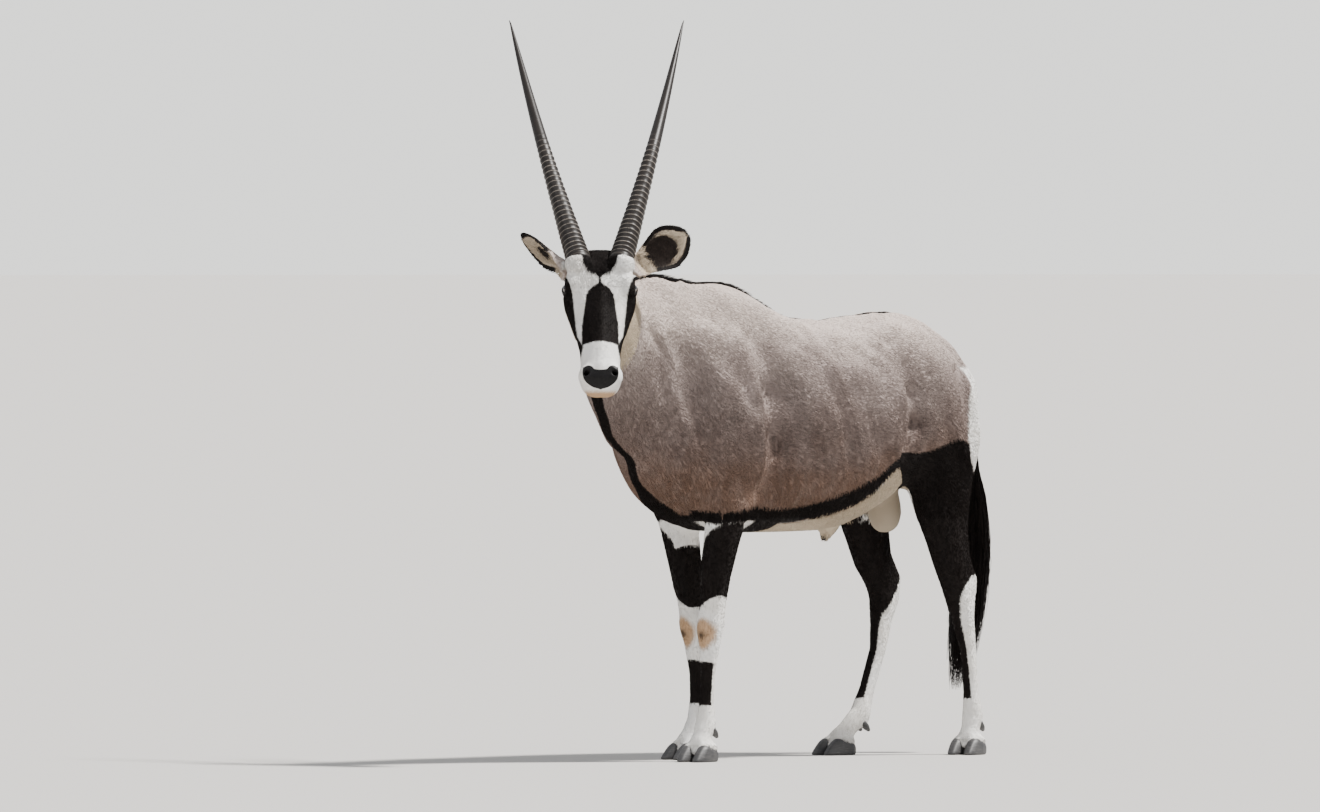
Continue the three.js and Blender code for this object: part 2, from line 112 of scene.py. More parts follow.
world = bpy.data.worlds.new("soft sky")
world.use_nodes = True
sky = world.node_tree.nodes["Background"]
sky.inputs["Color"].default_value = (0.94, 0.96, 1.0, 1)
sky.inputs["Strength"].default_value = 0.66
backdrop = world.node_tree.nodes.new("ShaderNodeBackground")
backdrop.inputs["Color"].default_value = (1.0, 1.0, 0.97, 1)
backdrop.inputs["Strength"].default_value = 1.58
rays = world.node_tree.nodes.new("ShaderNodeLightPath")
both = world.node_tree.nodes.new("ShaderNodeMixShader")
world.node_tree.links.new(rays.outputs["Is Camera Ray"], both.inputs[0])
world.node_tree.links.new(sky.outputs[0], both.inputs[1])
world.node_tree.links.new(backdrop.outputs[0], both.inputs[2])
world.node_tree.links.new(both.outputs[0], world.node_tree.nodes["World Output"].inputs["Surface"])
bpy.context.scene.world = world
for lamp_name, turn, height, strength, spread, tint in (
    ("key lamp", 137, 59, 8.8, 6, (1.0, 0.975, 0.94)),
    ("fill lamp", 20, 35, 0.55, 40, (0.96, 0.98, 1.0)),
):
    lamp_data = bpy.data.lights.new(lamp_name, "SUN")
    lamp_data.energy = strength
    lamp_data.angle = math.radians(spread)
    lamp_data.color = tint
    lamp = add_object(lamp_name, lamp_data)
    lamp.rotation_euler = (math.radians(90 - height), 0, math.radians(turn))

# Skin. The living hide over muscle, bone and tendon, in one closed sheet from the nose to the coronets.
# It is grown from the solids' own distance field, rounded, and given its muscles, folds, lids and lips.
HEAD_PITCH = math.radians(62)
HEAD_YAW = math.radians(49)
HORN_FOOT = at(0.802, 0.149, 1.264)  # on the midline, at the front of the horns
head_ahead = way(math.cos(HEAD_YAW), math.sin(HEAD_YAW), 0)
head_left = way(-math.sin(HEAD_YAW), math.cos(HEAD_YAW), 0)
down_face = math.cos(HEAD_PITCH) * head_ahead - math.sin(HEAD_PITCH) * np.array([0, 0, 1])
brow_out = np.cross(down_face, head_left)


def on_head(down, left, deep):
    """A point down the face from the horns, to the head's left, and deep under the brow, in millimetres."""
    return HORN_FOOT + (down * down_face + left * head_left - deep * brow_out) / 1000


def head_places(points):
    """Down the face, left and deep of many points, in millimetres."""
    away = (points - HORN_FOOT) * 1000
    return away @ down_face, away @ head_left, -(away @ brow_out)


def body_places(points):
    """Forward, left and up of many points, in metres."""
    return BACK_MIDDLE - points[:, 1], points[:, 0] - MIDLINE, points[:, 2]


def ease(low, high, x):
    """0 below low, 1 above high, with a smooth rise between them."""
    t = np.clip((x - low) / (high - low), 0, 1)
    return t * t * (3 - 2 * t)


class Field:
    """A dense box of distances to a surface, negative inside, on a grid of even pitch."""

    def __init__(self, low, high, pitch, band):
        self.pitch, self.band = pitch, band
        self.start = np.floor(np.array(low) / pitch).astype(int)
        self.size = np.ceil((np.array(high) - low) / pitch / 8).astype(int) * 8
        self.values = np.full(self.size, band * pitch, dtype=np.float32)

    def of_faces(self, points, faces):
        """Distances to a closed surface given as corners and faces."""
        kind = "triangles" if faces.shape[1] == 3 else "quads"
        grid = openvdb.FloatGrid.createLevelSetFromPolygons(
            points, **{kind: faces.astype(np.uint32)}, halfWidth=self.band,
            transform=openvdb.createLinearTransform(voxelSize=self.pitch))
        found = np.empty(self.size, dtype=np.float32)
        grid.copyToArray(found, ijk=tuple(int(i) for i in self.start))
        return found

    def lines(self):
        """The places of the grid's points along each axis."""
        return [(np.arange(count) + first) * self.pitch for count, first in zip(self.size, self.start)]

    def surface(self, level=0.0):
        """Corners and quads of the surface at a level."""
        grid = openvdb.FloatGrid(self.band * self.pitch)
        grid.transform = openvdb.createLinearTransform(voxelSize=self.pitch)
        grid.copyFromArray(self.values, ijk=tuple(int(i) for i in self.start))
        points, quads = grid.convertToQuads(isovalue=level)
        return points, quads

    def closed(self, reach):
        """Grows the surface by reach and shrinks it again, which fills cuts and rounds inner corners."""
        self.values = self.of_faces(*self.surface(reach)) + np.float32(reach)

    def blurred(self, width):
        """The field averaged with a bell of that width, by multiplying its waves."""
        waves = np.fft.rfftn(self.values)
        for axis, count in enumerate(self.size):
            turns = np.fft.rfftfreq(count) if axis == 2 else np.fft.fftfreq(count)
            bell = np.exp(-2 * (math.pi * width / self.pitch * turns) ** 2)
            waves *= bell.reshape([-1 if a == axis else 1 for a in range(3)])
        return np.fft.irfftn(waves, s=tuple(self.size)).astype(np.float32)

    def streaks(self, along, long, short, seed):
        """Random waves of about unit height, drawn out along a direction.

        They are noise whose waves are weighed by a bell, exp(-2 pi^2 (short^2 w^2 + (long^2 - short^2) d^2)).
        Here w is the turns per metre of a wave and d its part along the direction. Waves longer than the long
        width are taken out.
        """
        rng = np.random.default_rng(seed)
        waves = np.fft.rfftn(rng.standard_normal(self.size, dtype=np.float32))
        turns = [(np.fft.rfftfreq if axis == 2 else np.fft.fftfreq)(count) / self.pitch
                 for axis, count in enumerate(self.size)]
        x, y, z = turns[0][:, None, None], turns[1][None, :, None], turns[2][None, None, :]
        drawn = x * along[0] + y * along[1] + z * along[2]
        square = x * x + y * y + z * z
        bell = np.exp(-2 * math.pi**2 * (short**2 * square + (long**2 - short**2) * drawn**2))
        short_enough = 1 - np.exp(-2 * (math.pi * long) ** 2 * square)
        found = np.fft.irfftn(waves * bell * short_enough, s=tuple(self.size))
        return (found / found.std()).astype(np.float32)

    def around(self, point, reach):
        """The part of the grid within reach of a point: its slices, and the gap of each of its points."""
        low = np.floor((point - reach) / self.pitch).astype(int) - self.start
        high = low + int(2 * reach / self.pitch) + 2
        parts = tuple(slice(max(a, 0), min(b, n)) for a, b, n in zip(low, high, self.size))
        lines = [(np.arange(part.start, part.stop) + first) * self.pitch
                 for part, first in zip(parts, self.start)]
        return parts, np.stack(np.meshgrid(*lines, indexing="ij"), -1) - point

    def places(self, mask):
        """The points of the grid that a mask picks."""
        return (np.argwhere(mask) + self.start).astype(np.float32) * np.float32(self.pitch)


def mesh_arrays(mesh):
    """Corners and triangles of a mesh."""
    corners = np.empty(len(mesh.vertices) * 3, dtype=np.float32)
    mesh.vertices.foreach_get("co", corners)
    mesh.calc_loop_triangles()
    triangles = np.empty(len(mesh.loop_triangles) * 3, dtype=np.int32)
    mesh.loop_triangles.foreach_get("vertices", triangles)
    return corners.reshape(-1, 3), triangles.reshape(-1, 3)


def shell_of(name):
    """Corners and triangles of one of the solids."""
    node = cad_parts[name]
    corners, triangles = mesh_arrays(node.data)
    turn = np.array(node.matrix_world)
    return (corners @ turn[:3, :3].T + turn[:3, 3]).astype(np.float32), triangles


def relief(points, swellings, seen_from_side=False):
    """Sum of soft ridges and hollows: height times exp(-(distance to the segment over width) squared).

    Seen from the side, the distance leaves out the way across, so that a swelling reaches both flanks.
    """
    raised = np.zeros(len(points), dtype=np.float32)
    kept = np.float32([0, 1, 1] if seen_from_side else [1, 1, 1])
    points = points * kept
    for start, end, width, height in swellings:
        start, end = np.float32(start) * kept, np.float32(end) * kept
        line = end - start
        share = np.clip((points - start) @ line / max(float(line @ line), 1e-9), 0, 1)
        gap = points - start - share[:, None] * line
        square = np.einsum("ij,ij->i", gap, gap) / np.float32(width * width)
        close = square < 6
        raised[close] += np.float32(height) * np.exp(-square[close])
    return raised


def both_sides(rows, place):
    """Each row's two ends are taken on the left, and again mirrored to the right."""
    found = []
    for start, end, width, height in rows:
        for side in (1, -1) if start[1] or end[1] else (1,):
            found.append((place(start[0], side * start[1], start[2]), place(end[0], side * end[1], end[2]),
                          width / 1000, height / 1000))
    return found


LEG_NODES = ("foreleg_left", "foreleg_right", "hindleg_left", "hindleg_right")
CLAWS = [f"{leg}_claw_{side}" for leg in LEG_NODES for side in ("left", "right")]
DEWCLAWS = [f"{leg}_dewclaw_{side}" for leg in LEG_NODES for side in ("left", "right")]
FLESH = ("trunk", "neck", "head", "tail", "sheath", "scrotum", "ear_left", "ear_right", *LEG_NODES)
HIDE_END = 0.016  # the hide ends inside the hooves at this height


def flesh_field(names, low, high, pitch, band):
    """The named solids joined in one field. The claws count only above the end of the hide."""
    field = Field(low, high, pitch, band)
    heights = field.lines()[2]
    for name in names:
        found = field.of_faces(*shell_of(name))
        if "_claw_" in name:
            found = np.maximum(found + 0.0015, (HIDE_END - heights).astype(np.float32))
        if "dewclaw" in name:
            found += 0.0025
        np.minimum(field.values, found, out=field.values)
    return field


# Muscles, bones and hollows of the sides: two ends, each forward, left and up in metres, then width and
# height in millimetres
SIDE_FORM = [
    ((0.415, 0, 1.100), (0.385, 0, 0.900), 36, 9),  # shoulder blade
    ((0.365, 0, 0.930), (0.330, 0, 0.760), 56, 11),  # triceps
    ((0.322, 0, 1.060), (0.300, 0, 0.930), 24, 8),
    ((0.300, 0, 0.930), (0.292, 0, 0.740), 26, 11),
    ((0.262, 0, 1.070), (0.238, 0, 0.930), 38, -14),  # drop behind the shoulder
    ((0.238, 0, 0.930), (0.226, 0, 0.800), 40, -22),
    ((0.226, 0, 0.800), (0.255, 0, 0.690), 36, -18),
    ((0.300, 0, 0.655), (0.322, 0, 0.640), 26, 8),  # elbow
    ((0.500, 0, 1.070), (0.462, 0, 0.830), 28, -13),  # hollow ahead of the shoulder
    ((0.550, 0, 1.080), (0.525, 0, 0.900), 18, 5),
    ((0.600, 0, 1.080), (0.562, 0, 0.930), 18, -7),
    ((0.480, 0, 0.830), (0.490, 0, 0.740), 46, 7),  # breast muscle
    ((-0.110, 0, 1.060), (-0.135, 0, 0.990), 40, -8),  # hollow of the flank
    ((-0.115, 0, 1.030), (-0.172, 0, 0.920), 28, 8),
    ((-0.172, 0, 0.920), (-0.142, 0, 0.800), 28, 9),
    ((-0.168, 0, 1.050), (-0.232, 0, 0.930), 28, -12),  # drop behind the flank's fold
    ((-0.232, 0, 0.930), (-0.245, 0, 0.860), 30, -18),
    ((-0.245, 0, 0.860), (-0.205, 0, 0.785), 24, -15),
    ((-0.330, 0, 1.010), (-0.375, 0, 0.840), 70, 11),  # thigh muscle
    ((-0.430, 0, 0.990), (-0.435, 0, 0.800), 16, -6),
    ((0.160, 0, 0.980), (0.080, 0, 0.700), 10, 1.8),  # ribs
    ((0.105, 0, 0.990), (0.020, 0, 0.700), 10, 2.2),
    ((0.050, 0, 0.995), (-0.040, 0, 0.710), 10, 2.2),
    ((-0.005, 0, 1.000), (-0.090, 0, 0.730), 10, 1.8),
]
BODY_FORM = [
    ((0.690, 0.085, 0.985), (0.520, 0.110, 0.830), 20, -6),  # jugular groove
    ((0.640, 0.060, 1.150), (0.440, 0.130, 1.050), 34, 6),  # upper neck muscle
    ((0.600, 0.105, 1.100), (0.510, 0.130, 0.950), 13, -5),  # loose folds at the base of the neck
    ((0.570, 0.110, 1.090), (0.480, 0.140, 0.930), 11, 4),
    ((0.530, 0.120, 1.080), (0.450, 0.150, 0.930), 12, -5),
    ((0.350, 0.000, 1.221), (0.190, 0.000, 1.190), 34, 4),  # withers
    ((0.545, 0.015, 1.235), (0.410, 0.000, 1.235), 42, 12),  # crest
    ((0.150, 0.000, 1.165), (-0.300, 0.000, 1.150), 14, 4),  # spine
    ((0.120, 0.060, 1.120), (-0.220, 0.070, 1.120), 26, -5),  # hollow beside it
    ((0.260, 0.120, 1.130), (0.160, 0.150, 1.080), 26, -5),  # hollow behind the withers
    ((-0.235, 0.120, 1.090), (-0.255, 0.135, 1.075), 34, 13),  # hip bone
    ((-0.455, 0.130, 0.940), (-0.480, 0.110, 0.780), 38, 8),  # hamstrings
    ((-0.430, 0.000, 1.120), (-0.500, 0.000, 1.060), 34, 5),  # croup
    ((-0.540, 0.070, 0.990), (-0.550, 0.075, 0.960), 32, 7),  # pin bone
    ((0.500, 0.000, 0.660), (0.420, 0.000, 0.605), 30, 6),  # keel of the breast
]


def crossings(corners, triangles, heights, level):
    """Where the edges of a closed surface cross a level, given the height of each of its corners."""
    edges = triangles[:, [0, 1, 1, 2, 2, 0]].reshape(-1, 2)
    ends, heights = corners[edges], heights[edges]
    over = (heights[:, 0] > level) != (heights[:, 1] > level)
    ends, heights = ends[over], heights[over]
    share = (level - heights[:, 0]) / (heights[:, 1] - heights[:, 0])
    return ends[:, 0] + share[:, None] * (ends[:, 1] - ends[:, 0])


def leg_slice(name, height):
    """Middle and half size of a leg's section at a height."""
    corners, triangles = shell_of(name)
    hits = crossings(corners, triangles, corners[:, 2], height)
    low, high = hits.min(0), hits.max(0)
    return (low + high) / 2, (high - low) / 2


LEG_HEIGHTS = np.array([
    0.06, 0.08, 0.10, 0.13, 0.17, 0.22, 0.27, 0.31, 0.34, 0.38, 0.42, 0.46, 0.50, 0.54, 0.59])
leg_slices = {name: np.array([leg_slice(name, height) for height in LEG_HEIGHTS]) for name in LEG_NODES}


def leg_section(name, z):
    """The leg's middle at a height, x and y, and its half size there, across and along the body."""
    return [np.interp(z, LEG_HEIGHTS, leg_slices[name][:, part, axis]) for part in (0, 1) for axis in (0, 1)]


def leg_places(name, points):
    """How far in front (+) and outside (+) of the leg's middle line, as shares of its half size there."""
    side = 1 if name.endswith("left") else -1
    x, y, wide, long = leg_section(name, points[:, 2])
    return (y - points[:, 1]) / long, side * (points[:, 0] - x) / wide


def leg_form(name):
    """Bones and tendons: rows of lower and upper height, share forward, share outward, width and height."""
    side = 1 if name.endswith("left") else -1
    rows = [
        (0.13, 0.26, -0.35, 0.95, 5, -3.0), (0.13, 0.26, -0.35, -0.95, 5, -3.0),  # between bone and tendon
        (0.125, 0.135, 0.3, 0.7, 16, 1.5), (0.09, 0.105, 0.9, 0.0, 14, 2.5),  # fetlock
        (0.066, 0.074, -0.9, 0.0, 12, -2.0), (0.088, 0.098, -0.9, 0.0, 15, 4.0),  # pastern
    ]
    if name.startswith("fore"):
        rows += [
            (0.325, 0.345, 0.9, 0.1, 16, 4), (0.295, 0.300, 0.8, 0.0, 12, -2.5),  # knee
            (0.34, 0.352, -0.95, 0.25, 11, 4), (0.37, 0.38, 0.8, 0.2, 14, -2),
            (0.44, 0.56, 0.35, 0.9, 22, 5), (0.42, 0.56, -0.25, 0.95, 12, -3.5),  # forearm
            (0.39, 0.52, 0.1, -0.95, 14, -2),
        ]
    else:
        rows += [
            (0.425, 0.450, -1.0, 0.0, 12, 7), (0.45, 0.56, -0.95, 0.0, 9, 4),  # point of the hock, tendon
            (0.455, 0.57, -0.42, 0.9, 13, -7), (0.455, 0.57, -0.42, -0.9, 13, -6),
            (0.375, 0.40, 0.15, 0.95, 14, 4), (0.375, 0.40, 0.15, -0.95, 14, 4),  # hock
            (0.33, 0.35, 0.9, 0.0, 14, -2), (0.49, 0.58, 0.55, 0.75, 24, 4),  # gaskin
        ]
    found = []
    for low, high, forward, outward, width, height in rows:
        ends = []
        for level in (low, high):
            x, y, wide, long = leg_section(name, level)
            ends.append(np.array([x + side * outward * wide, y - forward * long, level]))
        found.append((*ends, width / 1000, height / 1000))
    return found


BAND = 11  # the field is known this many grid steps to either side of the surface
BODY_PITCH = 0.005
BODY_BLURS = (0.005, 0.013, 0.022)  # legs, neck and leg tops, trunk
body_low = np.array([trunk_low[0] - 0.05, BACK_MIDDLE - 0.80, 0.0])
body_high = np.array([trunk_high[0] + 0.05, BACK_MIDDLE + 0.70, 1.30])
all_but_ears = [name for name in FLESH if not name.startswith("ear")] + CLAWS + DEWCLAWS
body = flesh_field(all_but_ears, body_low, body_high, BODY_PITCH, BAND)
body.closed(0.011)
fine, middling, broad = (body.blurred(width) for width in BODY_BLURS)
forward, height = BACK_MIDDLE - body.lines()[1], body.lines()[2]
trunk_share = (
    (ease(-0.60, -0.50, forward) * (1 - ease(0.40, 0.50, forward)))[None, :, None]
    * ease(0.66, 0.80, height)[None, None, :])
leg_share = (1 - ease(0.52, 0.66, height))[None, None, :]
body.values = middling + leg_share * (fine - middling) + trunk_share * (broad - middling)
del fine, middling, broad
near = np.abs(body.values) < 0.034
body_points = body.places(near)
swellings = both_sides(BODY_FORM, at)
for leg_name in LEG_NODES:
    swellings += leg_form(leg_name)
BODY_COAT = 0.003
LEG_COAT = 0.0018
coat_depth = LEG_COAT + (BODY_COAT - LEG_COAT) * ease(0.45, 0.70, body_points[:, 2])
sides_raised = relief(body_points, both_sides(SIDE_FORM, at), seen_from_side=True)
sides_raised *= ease(0.05, 0.12, np.abs(body_points[:, 0] - MIDLINE))
body.values[near] += (coat_depth - relief(body_points, swellings) - sides_raised).astype(np.float32)
# The hide ripples over the muscles of the shoulder, ribs and haunch in slanting streaks.
ripple_share = (
    ease(-0.62, -0.35, forward) * (1 - 0.5 * ease(0.45, 0.60, forward)))[None, :, None] * (
    ease(0.64, 0.80, height) * (1 - 0.6 * ease(1.05, 1.18, height)))[None, None, :]
body.values += 0.0034 * ripple_share.astype(np.float32) * body.streaks(way(-0.4, 0, -0.9), 0.060, 0.016, 7)
body_shell = body.surface()

# Bones, muscles and folds of the head: two ends, each down the face, left and deep, then width and height,
# all in millimetres
HEAD_FORM = [
    ((40, 0, -6), (285, 0, 2), 20, 2.5),  # bridge of the nose
    ((110, 34, -2), (240, 30, 0), 13, -1.5),
    ((12, 58, -2), (72, 74, 22), 15, 4),  # brow over the eye
    ((8, 84, 66), (-10, 78, 70), 18, -5),  # hollow behind the eye
    ((84, 78, 40), (146, 64, 44), 12, -4),  # hollow before the eye
    ((60, 88, 78), (170, 66, 82), 10, 4),  # cheek bone
    ((50, 80, 120), (70, 74, 150), 38, 5),  # chewing muscle
    ((185, 56, 106), (240, 50, 98), 12, -3),  # hollow of the cheek
    ((-6, 72, 150), (-20, 60, 176), 20, -4),  # behind the jaw
    ((288, 34, 8), (312, 44, 30), 12, 3.5),  # wing of the nostril
    ((296, 48, 62), (326, 26, 74), 17, 5),  # upper lip
    ((318, 18, 96), (300, 26, 104), 14, 3),  # lower lip
    ((262, 24, 112), (286, 14, 112), 22, 3),  # chin
    ((344, 0, 78), (334, 26, 82), 3.6, -5),  # the closed mouth
    ((334, 26, 82), (306, 45, 90), 3.6, -5),
    ((306, 45, 90), (262, 51, 92), 3.6, -4),
    ((330, 0, 18), (345, 0, 72), 3, -2.5),  # groove of the upper lip
    ((-8, 0, -4), (20, 0, -8), 24, -3),  # between the horns
]
EYE_PLACE = (50, 73, 47)  # down the face, left and deep
EYE_RADIUS = 0.020
LID_THICK = 0.0032
SLIT_HALF_LENGTH = 0.0190
SLIT_HALF_HEIGHT = 0.0128
EAR_LENGTH = 0.186
EAR_HALF_WIDTH = 0.054
EARS = {
    "left": (on_head(-12, 80, 62), on_head(-122, 219, 76), head_ahead + 0.1 * head_left),
    "right": (on_head(-12, -80, 62), on_head(-142, -194, 129),
              0.2 * head_ahead - 0.8 * head_left - 0.5 * np.array([0, 0, 1])),
}


def eye_middle(side):
    """The middle of the left eye where side is 1, and of the right one where it is -1."""
    down, left, deep = EYE_PLACE
    return on_head(down, side * left, deep)


def eye_frame(side):
    """The eye's own axes: out of it, along its slit towards the nose, and up across its lids."""
    gaze = 0.80 * side * head_left + 0.52 * brow_out - 0.10 * down_face
    gaze /= np.linalg.norm(gaze)
    slit = 0.80 * down_face + 0.60 * brow_out
    slit -= slit @ gaze * gaze
    slit /= np.linalg.norm(slit)
    lid_up = np.cross(gaze, slit)
    return gaze, slit, lid_up * np.sign(lid_up[2])


def slit_depth(gap, side):
    """Depth inside the almond between the lids: half height (1 - (a / half length)^2) - |b|.

    The gap from the eye's middle runs a along the slit and b up across it. Behind it there is no slit.
    """
    gaze, slit, lid_up = eye_frame(side)
    opening = SLIT_HALF_HEIGHT * (1 - (gap @ slit / SLIT_HALF_LENGTH) ** 2) - np.abs(gap @ lid_up + 0.0008)
    return np.where(gap @ gaze > 0, opening, -0.01)


def ear_axes(base, tip, facing):
    """The ear's own axes: along it, across its cup, and out of its opening."""
    along = (tip - base) / np.linalg.norm(tip - base)
    wide = np.cross(along, facing)
    wide /= np.linalg.norm(wide)
    return along, wide, np.cross(wide, along)


def ear_half(t):
    """Half the width of the ear at a share t of its length: a narrow stalk that opens to a leaf."""
    leaf = np.sin(np.pi * np.clip(t, 0, 1) ** 1.3) ** 0.52
    return (20 * (1 - t) ** 2 + 2) / 1000 + EAR_HALF_WIDTH * leaf * (0.42 + 0.58 * np.minimum(1, t * 1.7))


def ear_cup(t):
    """Depth of the ear's cup at a share t of its length, which flattens towards the tip."""
    return ((34 - 22 * t) * (1 - t**5) + 1) / 1000


def grid_faces(rows, columns):
    """Quads of a grid of rows by columns, closed round in its columns."""
    r, c = np.meshgrid(np.arange(rows - 1) * columns, np.arange(columns), indexing="ij")
    d = (c + 1) % columns
    return np.stack([r + c, r + d, r + columns + d, r + columns + c], -1).reshape(-1, 4)


def closed_tube(rings, foot, tip):
    """Corners, quads and end triangles of a tube through rings of points, with a point to close each end."""
    rows, around = rings.shape[:2]
    ring = np.arange(around)
    after = (ring + 1) % around
    last = (rows - 1) * around
    foot_number = rows * around
    ends = [np.stack([after, ring, np.full(around, foot_number)], 1),
            np.stack([ring + last, after + last, np.full(around, foot_number + 1)], 1)]
    return np.concatenate([rings.reshape(-1, 3), [foot, tip]]), grid_faces(rows, around), np.concatenate(ends)


def ear_surface(base, tip, facing):
    """A crescent carried from base to tip: an outer arc of the cup's depth, and an inner one a wall less."""
    along, wide, out = ear_axes(base, tip, facing)
    rings, arc = 60, 30
    t = np.linspace(0.0, 0.995, rings)[:, None]
    turn = np.pi * (np.linspace(0, 1, arc) - 0.5)[None, :]
    half, cup = ear_half(t), ear_cup(t)
    wall = 0.0062 + 0.03 * (1 - np.minimum(1, t * 4.5)) ** 2
    outer = (half * np.sin(turn), cup * 0.5 - (cup + 0.001) * np.cos(turn))
    inner_depth = np.maximum(cup - wall, -0.35 * cup)
    inner = ((half - 0.003) * np.sin(turn), cup * 0.5 + 0.003 - inner_depth * np.cos(turn))
    x = np.concatenate([outer[0], inner[0][:, ::-1]], 1)
    y = np.concatenate([outer[1], inner[1][:, ::-1]], 1)
    points = base + (t * EAR_LENGTH)[..., None] * along + x[..., None] * wide + y[..., None] * out
    corners, quads, ends = closed_tube(points, points[0].mean(0), points[-1].mean(0))
    return corners.astype(np.float32), np.concatenate([quads[:, [0, 1, 2]], quads[:, [0, 2, 3]], ends])


def joined(a, b, reach):
    """The smaller of two distances, with the corner between them rounded over a reach."""
    share = np.clip(0.5 + 0.5 * (b - a) / reach, 0, 1)
    return b + (a - b) * share - reach * share * (1 - share)


HEAD_GRID_PITCH = 0.0022
head_low = np.array([MIDLINE - 0.205, BACK_MIDDLE - 0.965, 0.880])
head_high = np.array([MIDLINE + 0.320, BACK_MIDDLE - 0.495, 1.425])
head_solids = ["neck", "head", "trunk", "eye_left", "eye_right"]
head = flesh_field(head_solids, head_low, head_high, HEAD_GRID_PITCH, BAND)
head.closed(0.007)
soft, softer = head.blurred(0.0055), head.blurred(0.013)
grid_x, grid_y, grid_z = head.lines()
NECK_CUT = at(0.660, 0.050, 1.068)
NECK_WAY = way(0.77, 0.38, 0.42)
past_cut = (
    (grid_x - NECK_CUT[0])[:, None, None] * NECK_WAY[0]
    + (grid_y - NECK_CUT[1])[None, :, None] * NECK_WAY[1]
    + (grid_z - NECK_CUT[2])[None, None, :] * NECK_WAY[2])
head.values = softer + ease(0.015, 0.085, past_cut).astype(np.float32) * (soft - softer)
del soft, softer, past_cut
ears_found = np.minimum(*(head.of_faces(*ear_surface(*EARS[side])) for side in ("left", "right")))
head.values = joined(head.values, ears_found, np.float32(0.011))
del ears_found
near = np.abs(head.values) < 0.02
head_points = head.places(near)
values = head.values[near]
in_neck = 1 - ease(0.02, 0.07, (head_points - NECK_CUT) @ NECK_WAY)
FACE_COAT = 0.0018
values += (FACE_COAT + (BODY_COAT - FACE_COAT) * in_neck).astype(np.float32)
values -= relief(head_points, both_sides(HEAD_FORM, on_head) + both_sides(BODY_FORM[:5], at))
head.values[near] = values

# Each eye's socket is a ball cut out of the head, and its lids a shell round the eye, open in an almond.
# Each nostril is a bent tunnel.
for side in (1, -1):
    eye = eye_middle(side)
    parts, gap = head.around(eye, 0.036)
    distance = np.linalg.norm(gap, axis=-1)
    opening = slit_depth(gap, side)
    reach_out = gap @ eye_frame(side)[0]
    lids = np.maximum(np.abs(distance - EYE_RADIUS - 0.0004 - LID_THICK / 2) - LID_THICK / 2, opening)
    skin_there = np.maximum(head.values[parts], EYE_RADIUS + 0.0004 - distance)
    skin_there = np.where(reach_out > 0, np.maximum(skin_there, opening - 0.004), skin_there)
    head.values[parts] = joined(skin_there, lids, 0.005)
    nostril = [on_head(297, side * 29, -2), on_head(306, side * 37, 20), on_head(300, side * 28, 48)]
    for start, end in zip(nostril, nostril[1:]):
        parts, gap = head.around((start + end) / 2, 0.034)
        line = end - start
        share = np.clip((gap + (start + end) / 2 - start) @ line / (line @ line), 0, 1)
        distance = np.linalg.norm(gap + (start + end) / 2 - start - share[..., None] * line, axis=-1)
        head.values[parts] = -joined(-head.values[parts], distance - 0.0062, 0.004)
head_shell = head.surface()


def new_mesh(name, points, *face_sets):
    """A mesh from an array of corners and arrays of faces with three or four corners each, shaded smooth."""
    mesh = bpy.data.meshes.new(name)
    counts = np.concatenate([np.full(len(faces), faces.shape[1]) for faces in face_sets])
    loops = np.concatenate([faces.ravel() for faces in face_sets]).astype(np.int32)
    mesh.vertices.add(len(points))
    mesh.vertices.foreach_set("co", np.ascontiguousarray(points, dtype=np.float32).ravel())
    mesh.loops.add(len(loops))
    mesh.loops.foreach_set("vertex_index", loops)
    mesh.polygons.add(len(counts))
    mesh.polygons.foreach_set("loop_start", np.concatenate([[0], np.cumsum(counts)[:-1]]).astype(np.int32))
    mesh.polygons.foreach_set("use_smooth", np.ones(len(counts), dtype=bool))
    mesh.update(calc_edges=True)
    return mesh


def thinned(points, faces, thin, wanted):
    """The surface thinned to a wanted number of triangles, most where thin is 1 and not where it is 0."""
    piece = add_object("thinned", new_mesh("thinned", points, faces))
    group = piece.vertex_groups.new(name="thin")
    levels = np.round(thin * 8).astype(int)
    for level in range(1, 9):
        group.add(np.flatnonzero(levels == level).tolist(), level / 8, "REPLACE")
    modifier = piece.modifiers.new("thin", "DECIMATE")
    modifier.vertex_group = "thin"
    modifier.ratio = min(1, wanted / (2 * len(faces)))
    bpy.context.view_layer.update()
    mesh = bpy.data.meshes.new_from_object(piece.evaluated_get(bpy.context.evaluated_depsgraph_get()))
    bpy.data.objects.remove(piece)
    return mesh


body_thin = ease(0.50, 0.62, body_shell[0][:, 2]) * 0.9 + 0.1
head_thin = 1 - 0.7 * ease(0.04, 0.09, (head_shell[0] - NECK_CUT) @ NECK_WAY)
whole = bmesh.new()
BODY_TRIANGLES, HEAD_TRIANGLES = 84000, 112000
for part_mesh, keeps_front in (
    (thinned(*body_shell, body_thin, BODY_TRIANGLES), False),
    (thinned(*head_shell, head_thin, HEAD_TRIANGLES), True),
):
    part = bmesh.new()
    part.from_mesh(part_mesh)
    bmesh.ops.bisect_plane(
        part, geom=part.verts[:] + part.edges[:] + part.faces[:], dist=1e-6, plane_no=NECK_WAY,
        plane_co=NECK_CUT + NECK_WAY * (0.004 if keeps_front else -0.004),
        clear_inner=keeps_front, clear_outer=not keeps_front)
    part.to_mesh(part_mesh)
    part.free()
    whole.from_mesh(part_mesh)
bmesh.ops.bridge_loops(whole, edges=[edge for edge in whole.edges if edge.is_boundary])
bmesh.ops.triangulate(whole, faces=[face for face in whole.faces if len(face.verts) > 3])
cut_ring = [v for v in whole.verts if abs((np.array(v.co) - NECK_CUT) @ NECK_WAY) < 0.012]
for _ in range(6):
    bmesh.ops.smooth_vert(
        whole, verts=cut_ring, factor=0.5, use_axis_x=True, use_axis_y=True, use_axis_z=True)
